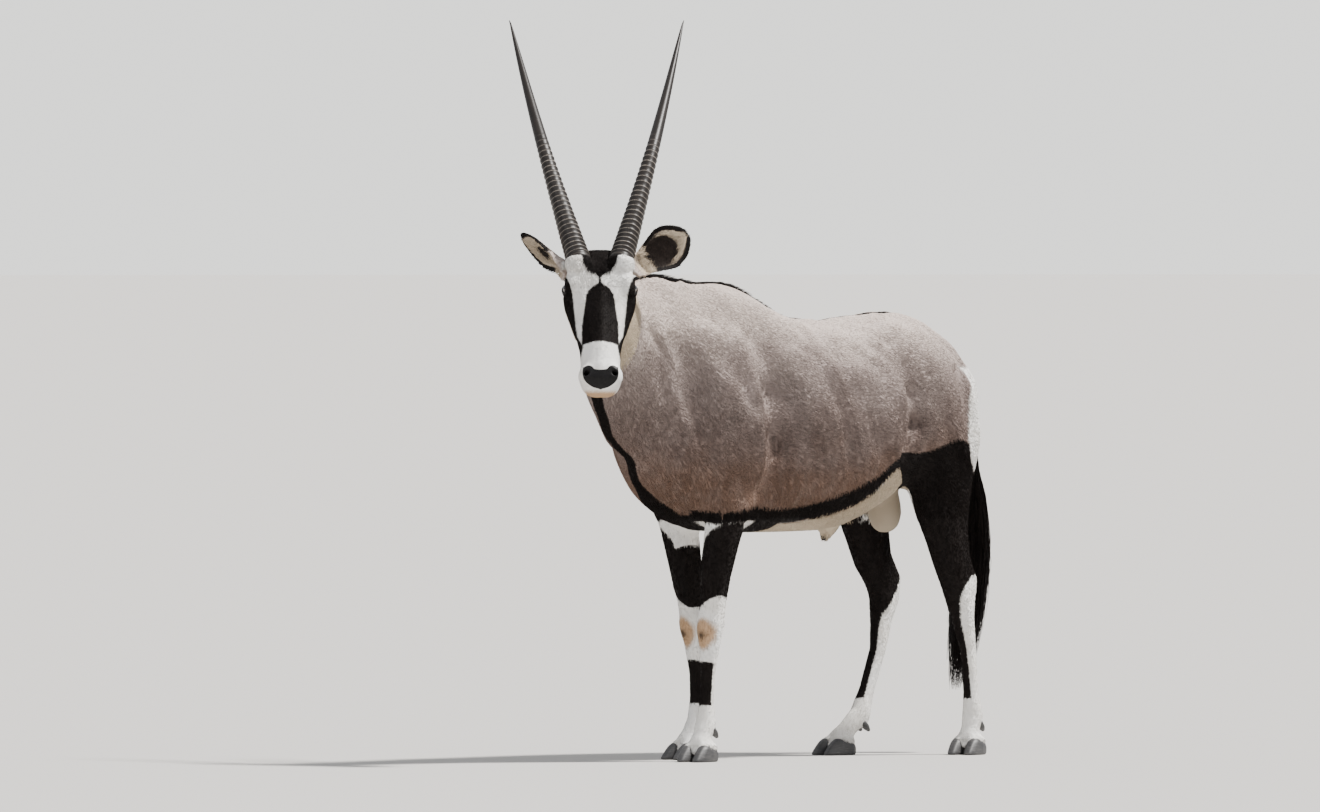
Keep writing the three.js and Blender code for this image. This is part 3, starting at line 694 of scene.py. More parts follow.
bmesh.ops.recalc_face_normals(whole, faces=whole.faces[:])
skin_mesh = bpy.data.meshes.new("skin")
whole.to_mesh(skin_mesh)
whole.free()
skin_mesh.polygons.foreach_set("use_smooth", [True] * len(skin_mesh.polygons))
skin_points, skin_faces = mesh_arrays(skin_mesh)
skin_normals = np.empty(len(skin_points) * 3, dtype=np.float32)
skin_mesh.vertex_normals.foreach_get("vector", skin_normals)
skin_normals = skin_normals.reshape(-1, 3)
skin = add_object("skin", skin_mesh)
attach(skin, "root")
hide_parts(*FLESH)

# Markings. Black-brown bands, stripes and stockings on pinkish fawn, with white face, belly, rump and legs.
# Each is a depth in metres inside its edge, worked out for every corner of the skin and every tuft's root.
NECK_MIDDLES = np.array([
    (0.20, 0.0, 0.93), (0.33, 0.0, 0.93), (0.43, 0.002, 0.962), (0.53, 0.010, 1.000), (0.625, 0.034, 1.050),
    (0.702, 0.072, 1.092), (0.756, 0.112, 1.134), (0.792, 0.146, 1.172)])


def neck_places(s, l, z):
    """Gap from the plane that halves the body, to the left, and height over the middle line of the neck.

    Each middle of the neck gives both in its own axes, and they are averaged with bell weights along them.
    """
    ways = np.gradient(NECK_MIDDLES, axis=0)
    ways /= np.linalg.norm(ways, axis=1)[:, None]
    places = np.stack([s, l, z], -1)
    total = np.where(s < 0.25, 1.0, 1e-6)
    gap, over = l * total, (z - 0.93) * total
    for middle, (a, b, c) in zip(NECK_MIDDLES, ways):
        flat = math.hypot(a, b)
        away = places - middle
        weight = np.exp(-((away @ np.array([a, b, c]) / 0.05) ** 2))
        gap = gap + weight * (away @ np.array([-b / flat, a / flat, 0]))
        over = over + weight * (away @ np.array([-c * a / flat, -c * b / flat, flat]))
        total = total + weight
    return gap / total, over / total


def line_through(x, *places, soft=0.0):
    """The height at x of straight lines through the places, averaged over a stretch to round the corners."""
    return sum(np.interp(x + shift * soft, *zip(*places)) for shift in (-1, -0.5, 0, 0.5, 1)) / 5


def ear_places(side, points):
    """Share along the ear, and metres across it and out of its opening."""
    along, wide, out = ear_axes(*EARS[side])
    away = points - EARS[side][0]
    return away @ along / EAR_LENGTH, away @ wide, away @ out


def on_ear(t, wide, out, start):
    """Which points lie on the ear, past a share of its length, from their places along, across and out."""
    return (t > start) & (t < 1.1) & (np.abs(wide) < 0.064) & (np.abs(out) < 0.045)


def purse_gap(points):
    """Distance from the middle of the scrotum, in an egg a quarter taller than wide."""
    return np.linalg.norm((points - at(-0.311, 0, 0.665)) * (1, 1, 0.8), axis=1)


def face_marks(points):
    """Depths inside the head's dark, white, bare, tan and cream parts and its lids' edges, in metres.

    Here x is the distance from the midline, and v how far down the face a place looks from the front.
    """
    down, left, deep = head_places(points)
    x, v = np.abs(left), 0.883 * down + 0.469 * deep + 7
    blaze_half = line_through(
        v, (-60, 52), (-25, 50), (0, 41), (21, 30), (31, 11), (41, 2.5), (54, 4), (64, 18), (74, 28),
        (84, 34), (123, 40), (162, 46), (215, 47))
    blaze = np.minimum.reduce([blaze_half - x, 202 + 11 * np.minimum(x / 46, 1.2) ** 2 - v, 72 - deep])
    stripe_front = line_through(
        v, (20, 88), (41, 83), (60, 75), (84, 69), (123, 65), (162, 61), (190, 57), (204, 49),
        (215, 43), (250, 50))
    stripe_back = line_through(down, (10, 62), (50, 78), (120, 78), (200, 72), (262, 54))
    stripe = np.minimum.reduce([x - stripe_front, stripe_back - deep, (262 - v) * 0.5, v - 26, down - 12])
    pad_half = line_through(
        v, (266, 44), (282, 46), (296, 43), (306, 36), (313, 27), (319, 17), (322, 0), soft=2)
    pad = np.minimum(pad_half - x, v - 273 + 6 * np.minimum(x / 30, 1) ** 2)
    pad = np.minimum(np.maximum(14.5 - np.hypot(x - 30, v - 277), pad), down - 278)
    white = np.maximum.reduce([
        np.minimum.reduce([v + 42, 50 - deep + 0.12 * np.maximum(down - 60, 0), 96 - x]),
        np.minimum.reduce([(v - 222) * 0.6, 150 - deep, down - 205])])
    tan = np.minimum.reduce([v - 328, 38 - x, 124 - deep])
    cream = np.minimum.reduce([down - 5, deep - 40, 196 - deep, 104 - x])
    eye_gap, lid = np.full(len(x), 999.0), np.full(len(x), -99.0)
    for side in (1, -1):
        gap = points - eye_middle(side)
        far = 1000 * np.linalg.norm(gap, axis=1)
        eye_gap = np.minimum(eye_gap, far)
        lid = np.maximum(lid, np.minimum(25.5 - far, 1000 * slit_depth(gap, side) + 3.4))
    dark = np.maximum.reduce([blaze, stripe, 27 - eye_gap])
    return [depth / 1000 for depth in (dark, white, pad, tan, cream, lid)]


def leg_marks(name, points):
    """Depths on one leg inside its dark parts, its tan knee and the spot on it, in metres.

    They come from shares forward and outward of the leg's middle line.
    """
    z = points[:, 2]
    f, o = leg_places(name, points)
    if name.startswith("fore"):
        patch = np.minimum.reduce([0.612 - z, z - 0.536 - 0.05 * np.abs(o + 0.5), (f + 0.4) * 0.05])
        sleeve_end = z - 0.403 - 0.02 * np.maximum(o, 0) + 0.016 * np.exp(-((o + 0.7) / 0.5) ** 2)
        sleeve = np.minimum.reduce([sleeve_end, 0.640 - z, -patch])
        band = np.minimum.reduce([z - 0.143, 0.250 - z + 0.006 * f, (f + 0.05) * 0.02])
        knee = 0.032 * (1 - np.hypot((z - 0.325) / 0.040, (o - 0.1) / 0.85))
        tan = np.minimum(knee, (f - 0.1) * 0.03)
        spot = np.minimum(0.008 - np.hypot(z - 0.322, (o - 0.1) * 0.028), (f - 0.1) * 0.03)
        return np.maximum(sleeve, band), tan, spot
    level = z + 0.045 * np.maximum(-o, 0)
    edge = line_through(
        level, (0.14, 0.55), (0.35, 0.62), (0.40, 0.5), (0.42, 0.3), (0.44, 0.0), (0.46, -0.5), (0.485, -1.6))
    return np.minimum(z - 0.145, (f - edge) * 0.03), np.full(len(z), -1.0), np.full(len(z), -1.0)


def marks(points, normals):
    """Depths inside the coat's dark, white, bare, tan and cream parts, and of the painted shade in the ear
    cups and the knee spots, in metres, below 0 outside.
    """
    s, l, z = body_places(points)
    gap, over = neck_places(s, l, z)
    side = np.abs(l)
    past = (points - NECK_CUT) @ NECK_WAY
    upper = line_through(
        s, (-0.46, 0.79), (-0.42, 0.822), (-0.39, 0.818), (-0.331, 0.790), (-0.279, 0.777), (-0.20, 0.783),
        (-0.176, 0.778), (-0.131, 0.741), (-0.062, 0.705), (0.007, 0.679), (0.076, 0.659), (0.145, 0.646),
        (0.214, 0.641), (0.28, 0.655), (0.32, 0.650), (0.36, 0.634), (0.45, 0.628), (0.56, 0.634),
        (0.60, 0.660), soft=0.03)
    lower = line_through(
        s, (-0.176, 0.746), (-0.131, 0.710), (-0.097, 0.672), (-0.062, 0.651), (0.007, 0.626), (0.076, 0.613),
        (0.145, 0.605), (0.317, 0.615), (0.42, 0.606), (0.50, 0.590), (0.56, 0.600), (0.59, 0.630),
        soft=0.015)
    outward = np.maximum(side - 0.085 - 0.2 * (z - 0.59), 0.60 - z)
    quarter = 261 * side - 290 * s
    rump_edge = line_through(
        z, (0.70, 184), (0.735, 180), (0.76, 177), (0.81, 174), (0.915, 174), (0.955, 177), (0.99, 188),
        (1.04, 215))
    rump = np.maximum.reduce([
        np.minimum((quarter - rump_edge) / 290, z - 0.695),
        np.minimum.reduce([-0.445 - s, 0.13 - side, 1.0 - z, z - 0.60]),
        np.minimum.reduce([-0.40 - s, 0.09 - side, 0.80 - z, z - 0.60])])
    band = np.minimum.reduce([upper - z, z - lower, s + 0.19])
    fold = line_through(
        s, (-0.34, 0.44), (-0.29, 0.62), (-0.24, 0.70), (-0.19, 0.738), (-0.15, 0.79), soft=0.01)
    thigh = np.minimum.reduce([upper - z, outward, z - fold, z - 0.46, np.maximum(-rump, 0.70 - z)])
    dark = np.maximum(band, thigh)
    belly = np.minimum.reduce([lower - z, 0.27 - s, s + 0.30])
    white = np.maximum(rump, np.where(s < -0.1, 0.72 - z, 0.612 - z))
    tan, smudge = np.full(len(z), -1.0), np.full(len(z), -1.0)
    for name in LEG_NODES:
        fore = name.startswith("fore")
        x, y, wide, long = leg_section(name, z)
        here = (np.hypot((points[:, 0] - x) / (wide + 0.03), (points[:, 1] - y) / (long + 0.045)) < 1)
        here &= z < (0.64 if fore else 0.60)
        if fore:
            here &= (z < 0.565) | (np.abs(y - points[:, 1]) < long + 0.008)
        leg_dark, leg_tan, leg_spot = leg_marks(name, points[here])
        dark[here] = np.where(z[here] > 0.60, np.maximum(dark[here], leg_dark), leg_dark)
        tan[here], smudge[here], belly[here] = leg_tan, leg_spot, -1.0
    white = np.minimum(white, -belly)
    spine = line_through(
        s, (-0.57, 0.012), (-0.50, 0.02), (-0.45, 0.026), (-0.35, 0.030), (-0.25, 0.022), (-0.20, 0.008),
        (0.0, 0.005), (0.2, 0.005), (0.3, 0.007), (0.9, 0.008))
    along_top = np.minimum(spine - np.abs(gap), np.where(s > 0.3, over - 0.02, z - 0.79))
    throat_half = 0.0135 + 0.03 * ease(0.72, 0.62, z) + 0.008 * ease(0.78, 0.92, z)
    throat = np.minimum.reduce([
        throat_half - np.abs(gap + 0.024 * ease(0.76, 0.85, z)), -0.02 - over, s - 0.33])
    dark = np.maximum.reduce([dark, np.minimum(along_top, -0.008 - past), throat])
    dark = np.where(past < 0.10, dark, -1.0)
    base, tip = at(-0.530, 0, 1.010), at(-0.634, -0.008, 0.730)
    share = np.clip((points - base) @ (tip - base) / ((tip - base) @ (tip - base)), 0, 1)
    tail_gap = np.linalg.norm(points - base - share[:, None] * (tip - base), axis=1)
    behind = BACK_MIDDLE - base[1] + share * (base[1] - tip[1]) + 0.014 - s
    dark = np.maximum(dark, np.minimum(0.016 + 0.010 * share - tail_gap, behind))
    purse = np.minimum(0.082 - purse_gap(points), 0.72 - z)
    near_purse = purse > -0.004
    dark[near_purse] = -purse[near_purse]
    white[near_purse] = -purse[near_purse]
    sheath_gap = np.linalg.norm(points - at(-0.094, 0, 0.547), axis=1)
    face = face_marks(points)
    in_head = past > 0.045
    dark = np.where(in_head, np.maximum(dark, face[0]), dark)
    white = np.where(in_head, face[1], white)
    bare = np.where(in_head, np.maximum(face[2], face[5]), 0.020 - sheath_gap)
    tan = np.where(in_head, face[3], tan)
    cream = np.where(in_head, face[4], np.maximum(belly, purse))
    shade_and_spot = np.full(len(z), -1.0)
    for name in EARS:
        t, wide, out = ear_places(name, points)
        here = on_ear(t, wide, out, 0.10)
        edge = ear_half(np.clip(t, 0, 1)) - np.abs(wide)
        inside = normals @ ear_axes(*EARS[name])[2] > 0.25
        rim = np.minimum(0.0145 - edge + 0.010 * ease(0.66, 0.95, t), (t - 0.30) * 0.1)
        rim = np.maximum(rim, (t - 0.93) * 0.15)
        dark[here] = rim[here]
        white[here] = -1.0
        cream[here] = np.where(inside, 0.004, -0.02)[here]
        # Painted shade: the middle of each ear's cup is darkened, partly for its dark skin and partly for
        # shade.
        deep = (0.046 if name == "left" else 0.028) - np.hypot((t - 0.51) * 0.15, wide)
        shade_and_spot[here] = np.where(inside, deep, -0.02)[here]
    shade_and_spot = np.maximum(shade_and_spot, smudge)
    return {"dark": dark, "white": white, "bare": bare, "tan": tan, "cream": cream, "shade_and_spot": shade_and_spot}


def write_floats(mesh, values):
    """Writes named numbers, one for each corner of the mesh."""
    for name, numbers in values.items():
        attribute = mesh.attributes.new(name, "FLOAT", "POINT")
        attribute.data.foreach_set("value", np.asarray(numbers, dtype=np.float32))


skin_marks = marks(skin_points, skin_normals)
write_floats(skin_mesh, skin_marks)
down_share = ease(0.78, 0.60, skin_points[:, 2]) + ease(0.30, 0.50, BACK_MIDDLE - skin_points[:, 1]) * 0.6
write_floats(skin_mesh, {"lies_down": np.clip(down_share, 0, 1)})


# Hide and hair colours. Pinkish fawn hairs with paler tips, black-brown ones, white ones and cream ones.
# One group turns the marking depths into colour for skin and tufts alike, with edges broken up by the hairs.
# It also paints shade low on the body and light on its top.
def put(tree, kind, *values, output=0, **settings):
    """Adds a node with its options, and its inputs filled in order by numbers, colours or other outputs."""
    node = tree.nodes.new("ShaderNode" + kind)
    for key, value in settings.items():
        setattr(node, key, value)
    for socket, value in zip(node.inputs, values):
        if isinstance(value, bpy.types.NodeSocket):
            tree.links.new(value, socket)
        elif value is not None:
            socket.default_value = value
    return node.outputs[output]


def noise(tree, vector, scale, detail, roughness=0.5):
    """Cloudy noise with so many clouds to a metre and so many finer layers."""
    node = tree.nodes.new("ShaderNodeTexNoise")
    tree.links.new(vector, node.inputs["Vector"])
    for name, value in (("Scale", scale), ("Detail", detail), ("Roughness", roughness)):
        node.inputs[name].default_value = value
    return node.outputs["Fac"]


def rise(tree, value, low, high, to_low=0.0, to_high=1.0):
    """A smooth step from one value to another."""
    return put(tree, "MapRange", value, low, high, to_low, to_high, interpolation_type="SMOOTHSTEP")


def tint(tree, share, first, second, kind="MIX"):
    """Mixes two colours, each a row of three numbers or another node's output."""
    node = tree.nodes.new("ShaderNodeMix")
    node.data_type, node.blend_type = "RGBA", kind
    for socket, value in ((node.inputs[0], share), (node.inputs[6], first), (node.inputs[7], second)):
        if isinstance(value, bpy.types.NodeSocket):
            tree.links.new(value, socket)
        else:
            socket.default_value = (*value, 1) if isinstance(value, tuple) else value
    return node.outputs[2]


def calc(tree, operation, *values):
    """One step of arithmetic."""
    return put(tree, "Math", *values, operation=operation)


def group(name, inputs, outputs):
    """A shader group with named float or colour inputs and outputs."""
    tree = bpy.data.node_groups.new(name, "ShaderNodeTree")
    for direction, sockets in (("INPUT", inputs), ("OUTPUT", outputs)):
        for socket, kind in sockets.items():
            tree.interface.new_socket(socket, in_out=direction, socket_type="NodeSocket" + kind)
    return tree, tree.nodes.new("NodeGroupInput").outputs, tree.nodes.new("NodeGroupOutput").inputs


def add_bump(tree, shader, height, strength, distance):
    """Roughens a shader's normals by a height, which stands for that distance in metres."""
    bump = tree.nodes.new("ShaderNodeBump")
    bump.inputs["Strength"].default_value = strength
    bump.inputs["Distance"].default_value = distance
    tree.links.new(height, bump.inputs["Height"])
    tree.links.new(bump.outputs["Normal"], shader.inputs["Normal"])


def use_group(tree, made, **values):
    """Puts a group into a tree, with its inputs linked by name, and gives its outputs."""
    node = tree.nodes.new("ShaderNodeGroup")
    node.node_tree = made
    for name, value in values.items():
        tree.links.new(value, node.inputs[name])
    return node.outputs


MARK_NAMES = ("dark", "white", "bare", "tan", "cream", "shade_and_spot", "shade")
hues, given, made = group(
    "coat colours", {name: "Float" for name in MARK_NAMES}, {"Colour": "Color", "Roughness": "Float"})
place = put(hues, "TexCoord", output=3)
patches = noise(hues, place, 7, 3)
flecks = noise(hues, place, 260, 2)
streaky = noise(hues, put(hues, "Mapping", place, None, (0.35, 0, 0), (1.0, 0.9, 0.3)), 42, 3, 0.6)
ragged = calc(hues, "MULTIPLY", calc(hues, "SUBTRACT", flecks, 0.5), 0.0075)


def mark_share(name, soft):
    """Share of a marking's colour at a point: a step at its edge, softened, and made ragged by the flecks."""
    depth = calc(hues, "ADD", given[name], ragged)
    return rise(hues, depth, -soft, soft)


# The level is the height over the floor in metres, shifted by the patches. Lower down the fawn is darker and
# redder, as painted shade and ground bounce, and higher up it is paler, as painted sunlight.
up = put(hues, "SeparateXYZ", place, output=2)
level = calc(hues, "MULTIPLY_ADD", patches, 0.22, calc(hues, "SUBTRACT", up, 0.11))
fawn = tint(hues, rise(hues, patches, 0.35, 0.65), (0.165, 0.104, 0.077), (0.190, 0.122, 0.092))
middle_fawn = tint(hues, patches, (0.170, 0.127, 0.112), (0.192, 0.146, 0.130))
fawn = tint(hues, rise(hues, level, 0.68, 0.84), fawn, middle_fawn)
sunlit_upper_fawn = tint(hues, patches, (0.262, 0.212, 0.194), (0.300, 0.245, 0.226))
fawn = tint(hues, rise(hues, level, 0.82, 1.00), fawn, sunlit_upper_fawn)
fawn = tint(hues, rise(hues, streaky, 0.42, 0.68, 0, 0.12), fawn, (0.430, 0.356, 0.325))
# Painted highlight: the top of the back is paled nearly to white.
fawn = tint(hues, rise(hues, level, 0.97, 1.13, 0, 0.74), fawn, (0.600, 0.515, 0.465))
white_hair = tint(hues, rise(hues, patches, 0.3, 0.7), (0.76, 0.735, 0.69), (0.86, 0.85, 0.83))
cream_hair = tint(hues, patches, (0.44, 0.355, 0.255), (0.54, 0.455, 0.35))
dark_hair = tint(hues, streaky, (0.0035, 0.0024, 0.0023), (0.0095, 0.0064, 0.0054))
colour = tint(hues, mark_share("cream", 0.012), fawn, cream_hair)
colour = tint(hues, mark_share("white", 0.006), colour, white_hair)
colour = tint(hues, calc(hues, "MULTIPLY", mark_share("tan", 0.007), 0.9), colour, (0.44, 0.26, 0.125))
# The ear cups' painted shade and the knee spots, near black.
colour = tint(hues, mark_share("shade_and_spot", 0.011), colour, (0.016, 0.011, 0.009))
colour = tint(hues, mark_share("dark", 0.0018), colour, dark_hair)
lit = calc(hues, "MULTIPLY_ADD", given["shade"], 0.22, 1.0)
colour = tint(hues, 1.0, colour, put(hues, "CombineXYZ", lit, lit, lit), kind="MULTIPLY")
bare_skin = tint(hues, flecks, (0.006, 0.0058, 0.0062), (0.017, 0.016, 0.0165))
colour = tint(hues, rise(hues, given["bare"], -0.0008, 0.0008), colour, bare_skin)
hues.links.new(colour, made["Colour"])
hues.links.new(rise(hues, given["bare"], -0.001, 0.001, 0.62, 0.33), made["Roughness"])

hair_waves, given_waves, made_waves = group("lie of the hair", {"Down": "Float"}, {"Height": "Float"})
place = put(hair_waves, "TexCoord", output=3)
backward, downward = (
    noise(hair_waves, put(hair_waves, "Mapping", place, None, (tilt, 0, 0), drawn_out), 330, 3, 0.6)
    for tilt, drawn_out in ((0.25, (1.0, 0.16, 1.0)), (0.12, (1.0, 1.0, 0.14))))
height_wave = put(hair_waves, "Mix", given_waves["Down"], None, backward, downward)
hair_waves.links.new(height_wave, made_waves["Height"])


def floats(tree, name):
    """The numbers that write_floats gave a mesh under a name."""
    return put(tree, "Attribute", attribute_name=name, output=2)


def coat_material(name, with_waves):
    """A material that takes its colour from the marking depths of the piece's own corners."""
    material, tree, shader = new_material(name, {"Specular IOR Level": 0.10})
    colours = use_group(tree, hues, **{mark: floats(tree, mark) for mark in MARK_NAMES})
    tree.links.new(colours["Colour"], shader.inputs["Base Color"])
    tree.links.new(colours["Roughness"], shader.inputs["Roughness"])
    if with_waves:
        waves = use_group(tree, hair_waves, Down=floats(tree, "lies_down"))
        add_bump(tree, shader, waves["Height"], 0.55, 0.0012)
    return material


# Painted shade: the scrotum's hide is darkened by about a third, for the shade where it hangs under the
# belly.
purse_shade_share = (1 - ease(0.076, 0.090, purse_gap(skin_points))) * (skin_points[:, 2] < 0.72)
write_floats(skin_mesh, {"shade": -1.5 * purse_shade_share})
skin_mesh.materials.append(coat_material("hide", True))


# Coat. Short hairs in thin pointed tufts, rooted in the hide, that lie back along the body and down the legs.
# They are long on the trunk, the neck and over the hooves, and finest on the face, in pieces by part of the
# body.
def lie(points, normals):
    """The way the hair lies: back along the body, down the legs, down the face and back over the cheeks."""
    s, _, z = body_places(points)
    deep = head_places(points)[2]
    in_head = ease(0.04, 0.09, (points - NECK_CUT) @ NECK_WAY)
    low = 1 - ease(0.62, 0.80, z)
    front = ease(0.25, 0.50, s) * (1 - low)
    rear = (1 - ease(-0.50, -0.30, s)) * (1 - low)
    shares_and_ways = [
        ((1 - in_head) * (1 - low) * (1 - front) * (1 - rear), way(-1, 0, -0.32)),
        ((1 - in_head) * low, way(-0.12, 0, -1)),
        ((1 - in_head) * front, way(-0.62, -0.15, -0.78)),
        ((1 - in_head) * rear, way(-0.45, 0, -0.9)),
        (in_head * (1 - ease(40, 90, deep)), down_face),
        (in_head * ease(40, 90, deep), -0.75 * brow_out + 0.45 * down_face),
    ]
    found = sum(share[:, None] * direction for share, direction in shares_and_ways)
    for name in EARS:
        found[on_ear(*ear_places(name, points), 0.12)] = ear_axes(*EARS[name])[0]
    swirl = 0.13 * np.sin(points @ np.array([31.0, 17.0, 23.0]))
    swirl += 0.09 * np.sin(points @ np.array([-19.0, 47.0, 58.0]) + 1)
    found += swirl[:, None] * np.cross(normals, found)
    found -= np.einsum("ij,ij->i", found, normals)[:, None] * normals
    return found / np.maximum(np.linalg.norm(found, axis=1), 1e-6)[:, None]


def tuft_shapes(roots, normals, lies, length, half_width, lift):
    """Closed thin blades of four corners: two at the foot, a raised ridge and a point that lies down.

    With L the length, w the half width and h the lift, the corners are at -w and +w across the root, at
    0.35 L along and h up, and at L along and 0.35 h up.
    """
    count = len(roots)
    across = np.cross(normals, lies)
    lies = lies + rng.normal(0, 0.11, count)[:, None] * across
    lies /= np.linalg.norm(lies, axis=1)[:, None]
    across = np.cross(normals, lies)
    long = (length * rng.uniform(0.72, 1.22, count))[:, None]
    wide = (half_width * rng.uniform(0.7, 1.25, count))[:, None]
    up = (lift * rng.uniform(0.55, 1.1, count))[:, None]
    bend = rng.normal(0, 0.08, count)[:, None] * long
    foot = roots - normals * 0.0006
    ridge = roots + lies * long * 0.35 + normals * up
    point = roots + lies * long + normals * up * 0.35 + across * bend
    corners = np.stack([foot - across * wide, foot + across * wide, ridge, point], 1)
    pattern = np.array([(0, 1, 3), (0, 3, 2), (3, 1, 2), (1, 0, 2)])
    faces = (np.arange(count) * 4)[:, None, None] + pattern
    return corners.reshape(-1, 3), faces.reshape(-1, 3)


TUFT_MAP = np.array([(0, 0), (1, 0), (0.5, 0.35), (0.5, 1)])
PATCH = 0.003  # the size of a tuft's or strand's patch on its map


def spots(piece_name, roots):
    """Each root's place on an unwrap of its part of the body: turn about the part's axis, and place along."""
    s, l, z = body_places(roots)
    if "head" in piece_name or "face" in piece_name or "ear" in piece_name:
        down, left, deep = head_places(roots)
        turn = np.arctan2(left, deep - 85)
        along = (down + 190) / 600 + 0.02 * np.linalg.norm(np.stack([left, deep - 85], -1), axis=1) / 100
    elif "leg" in piece_name:
        nearest = np.full(len(roots), 9.0)
        turn = np.zeros(len(roots))
        for number, name in enumerate(LEG_NODES):
            f, o = leg_places(name, roots)
            x, y, _, _ = leg_section(name, z)
            gap = np.hypot(roots[:, 0] - x, roots[:, 1] - y)
            share = (np.arctan2(o, f) / (2 * math.pi) + 0.5 + number) / 4
            turn = np.where(gap < nearest, (share - 0.5) * 2 * math.pi, turn)
            nearest = np.minimum(nearest, gap)
        along = z / 0.85
    elif "neck" in piece_name:
        gap, over = neck_places(s, l, z)
        turn, along = np.arctan2(gap, over), (s - 0.2) / 0.7
    else:
        turn, along = np.arctan2(l, z - 0.90), (s + 0.75) / 1.4
    return np.stack([0.01 + 0.97 * (turn / (2 * math.pi) + 0.5), 0.01 + 0.97 * np.clip(along, 0, 1)], -1)


def write_map(mesh, corner_spots):
    """The piece's own map, from a place for each corner."""
    loops = np.empty(len(mesh.loops), dtype=np.int32)
    mesh.loops.foreach_get("vertex_index", loops)
    layer = mesh.uv_layers.new(name="OFBake")
    layer.uv.foreach_set("vector", corner_spots[loops].astype(np.float32).ravel())


rng = np.random.default_rng(11)
corner_sets = skin_points[skin_faces]
face_edges = corner_sets[:, 1:] - corner_sets[:, :1]
face_areas = np.linalg.norm(np.cross(face_edges[:, 0], face_edges[:, 1]), axis=1) / 2
face_middles = corner_sets.mean(1)
s, l, z = body_places(face_middles)
face_past = (face_middles - NECK_CUT) @ NECK_WAY
face_down, face_left, face_deep = head_places(face_middles)
bald = skin_marks["bare"][skin_faces].mean(1) > -0.0005
for side in (1, -1):
    gap = face_middles - eye_middle(side)
    bald |= (np.linalg.norm(gap, axis=1) < 0.0262) & (slit_depth(gap, side) > -0.0050)
bald |= (purse_gap(face_middles) < 0.075) & (z < 0.715)
HAIR_END = 0.028  # the lowest hairs, at the heels
bald |= z < HAIR_END
in_ear = np.zeros(len(z), dtype=bool)
for name in EARS:
    in_ear |= on_ear(*ear_places(name, face_middles), 0.14)
is_head = (face_past > 0.055) & ~in_ear
on_face = is_head & (face_down > 60) & (face_deep < 130)
is_neck = ~is_head & ~in_ear & (s > 0.40) & (z > 0.72)
is_leg = ~is_head & ~in_ear & ~is_neck & (z < 0.62) & (np.abs(l) > 0.015)
is_fore = is_leg & (s > 0)
is_trunk = ~(is_head | in_ear | is_neck | is_leg)
MANY = 1.0
is_front = s > -0.02
# Each piece: its faces, tufts, length, half width and lift in millimetres
COAT = {
    "coat_shoulder_left": (is_trunk & (l >= 0) & is_front, 34000, 15, 0.62, 2.3),
    "coat_shoulder_right": (is_trunk & (l < 0) & is_front, 34000, 15, 0.62, 2.3),
    "coat_haunch_left": (is_trunk & (l >= 0) & ~is_front, 34000, 15, 0.62, 2.3),
    "coat_haunch_right": (is_trunk & (l < 0) & ~is_front, 34000, 15, 0.62, 2.3),
    "coat_neck": (is_neck, 37000, 14, 0.56, 2.2),
    "coat_head": (is_head & ~on_face, 33000, 7.5, 0.38, 1.3),
    "coat_face": (on_face, 33000, 4.6, 0.28, 0.8),
    "coat_ears": (in_ear, 13500, 6.5, 0.35, 1.0),
    "coat_forelegs": (is_fore, 27000, 8.5, 0.45, 1.4),
    "coat_hindlegs": (is_leg & ~is_fore, 31000, 8.5, 0.45, 1.4),
    "coat_leg_ends": (is_leg & (z < HAIR_END + 0.020), 5500, 17, 0.8, 2.6),
}
coat_look = coat_material("coat hair", False)


def scatter(weight, count):
    """Places and normals strewn over the skin's faces by weight, with the faces they fall on."""
    picked = rng.choice(len(weight), int(count * MANY), p=weight / weight.sum())
    a, b = np.sqrt(rng.random(len(picked))), rng.random(len(picked))
    mix = np.stack([1 - a, a * (1 - b), a * b], -1)[..., None]
    places = (skin_points[skin_faces[picked]] * mix).sum(1).astype(float)
    normals = (skin_normals[skin_faces[picked]] * mix).sum(1).astype(float)
    return places, normals / np.linalg.norm(normals, axis=1)[:, None], picked


for piece_name, (where, count, length, half_width, lift) in COAT.items():
    weight = np.where(where & ~bald, face_areas, 0)
    if "leg" in piece_name:
        weight = weight * (1.6 - ease(0.10, 0.45, z))
    roots, normals, _ = scatter(weight, count)
    size = np.ones(len(roots))
    if "leg" in piece_name:
        size = 0.62 + 0.55 * ease(0.12, 0.55, roots[:, 2])
    if piece_name == "coat_head":
        eye_gap = np.min([np.linalg.norm(roots - eye_middle(side), axis=1) for side in (1, -1)], axis=0)
        size = 0.42 + 0.58 * ease(0.024, 0.048, eye_gap)
    if piece_name == "coat_face":
        size = 1.15 - 0.45 * ease(150, 300, head_places(roots)[0])
    sizes = (millimetres * size / 1000 for millimetres in (length, half_width, lift))
    corners, faces = tuft_shapes(roots, normals, lie(roots, normals), *sizes)
    mesh = new_mesh(piece_name, corners, faces)
    tuft_marks = {name: np.repeat(depth, 4) for name, depth in marks(roots, normals).items()}
    shade = np.repeat(rng.normal(0, 0.45, len(roots)), 4) + np.tile([-0.5, -0.5, 0.1, 0.5], len(roots))
    write_floats(mesh, {**tuft_marks, "shade": np.clip(shade, -1.6, 1.6)})
    write_map(mesh, (spots(piece_name, roots)[:, None, :] + (TUFT_MAP - 0.5) * PATCH).reshape(-1, 2))
    mesh.materials.append(coat_look)
    coat = add_object(piece_name, mesh)
    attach(coat, "root")


# Long hair. Black hairs of the tail's switch, the short stiff mane along the crest, the brush between the
# horns and the lashes, and pale ones in the ears. Each strand is a closed, tapering tube rooted in the hide.
def circle(count):
    """Evenly spread turns round a circle."""
    return np.arange(count) * 2 * math.pi / count


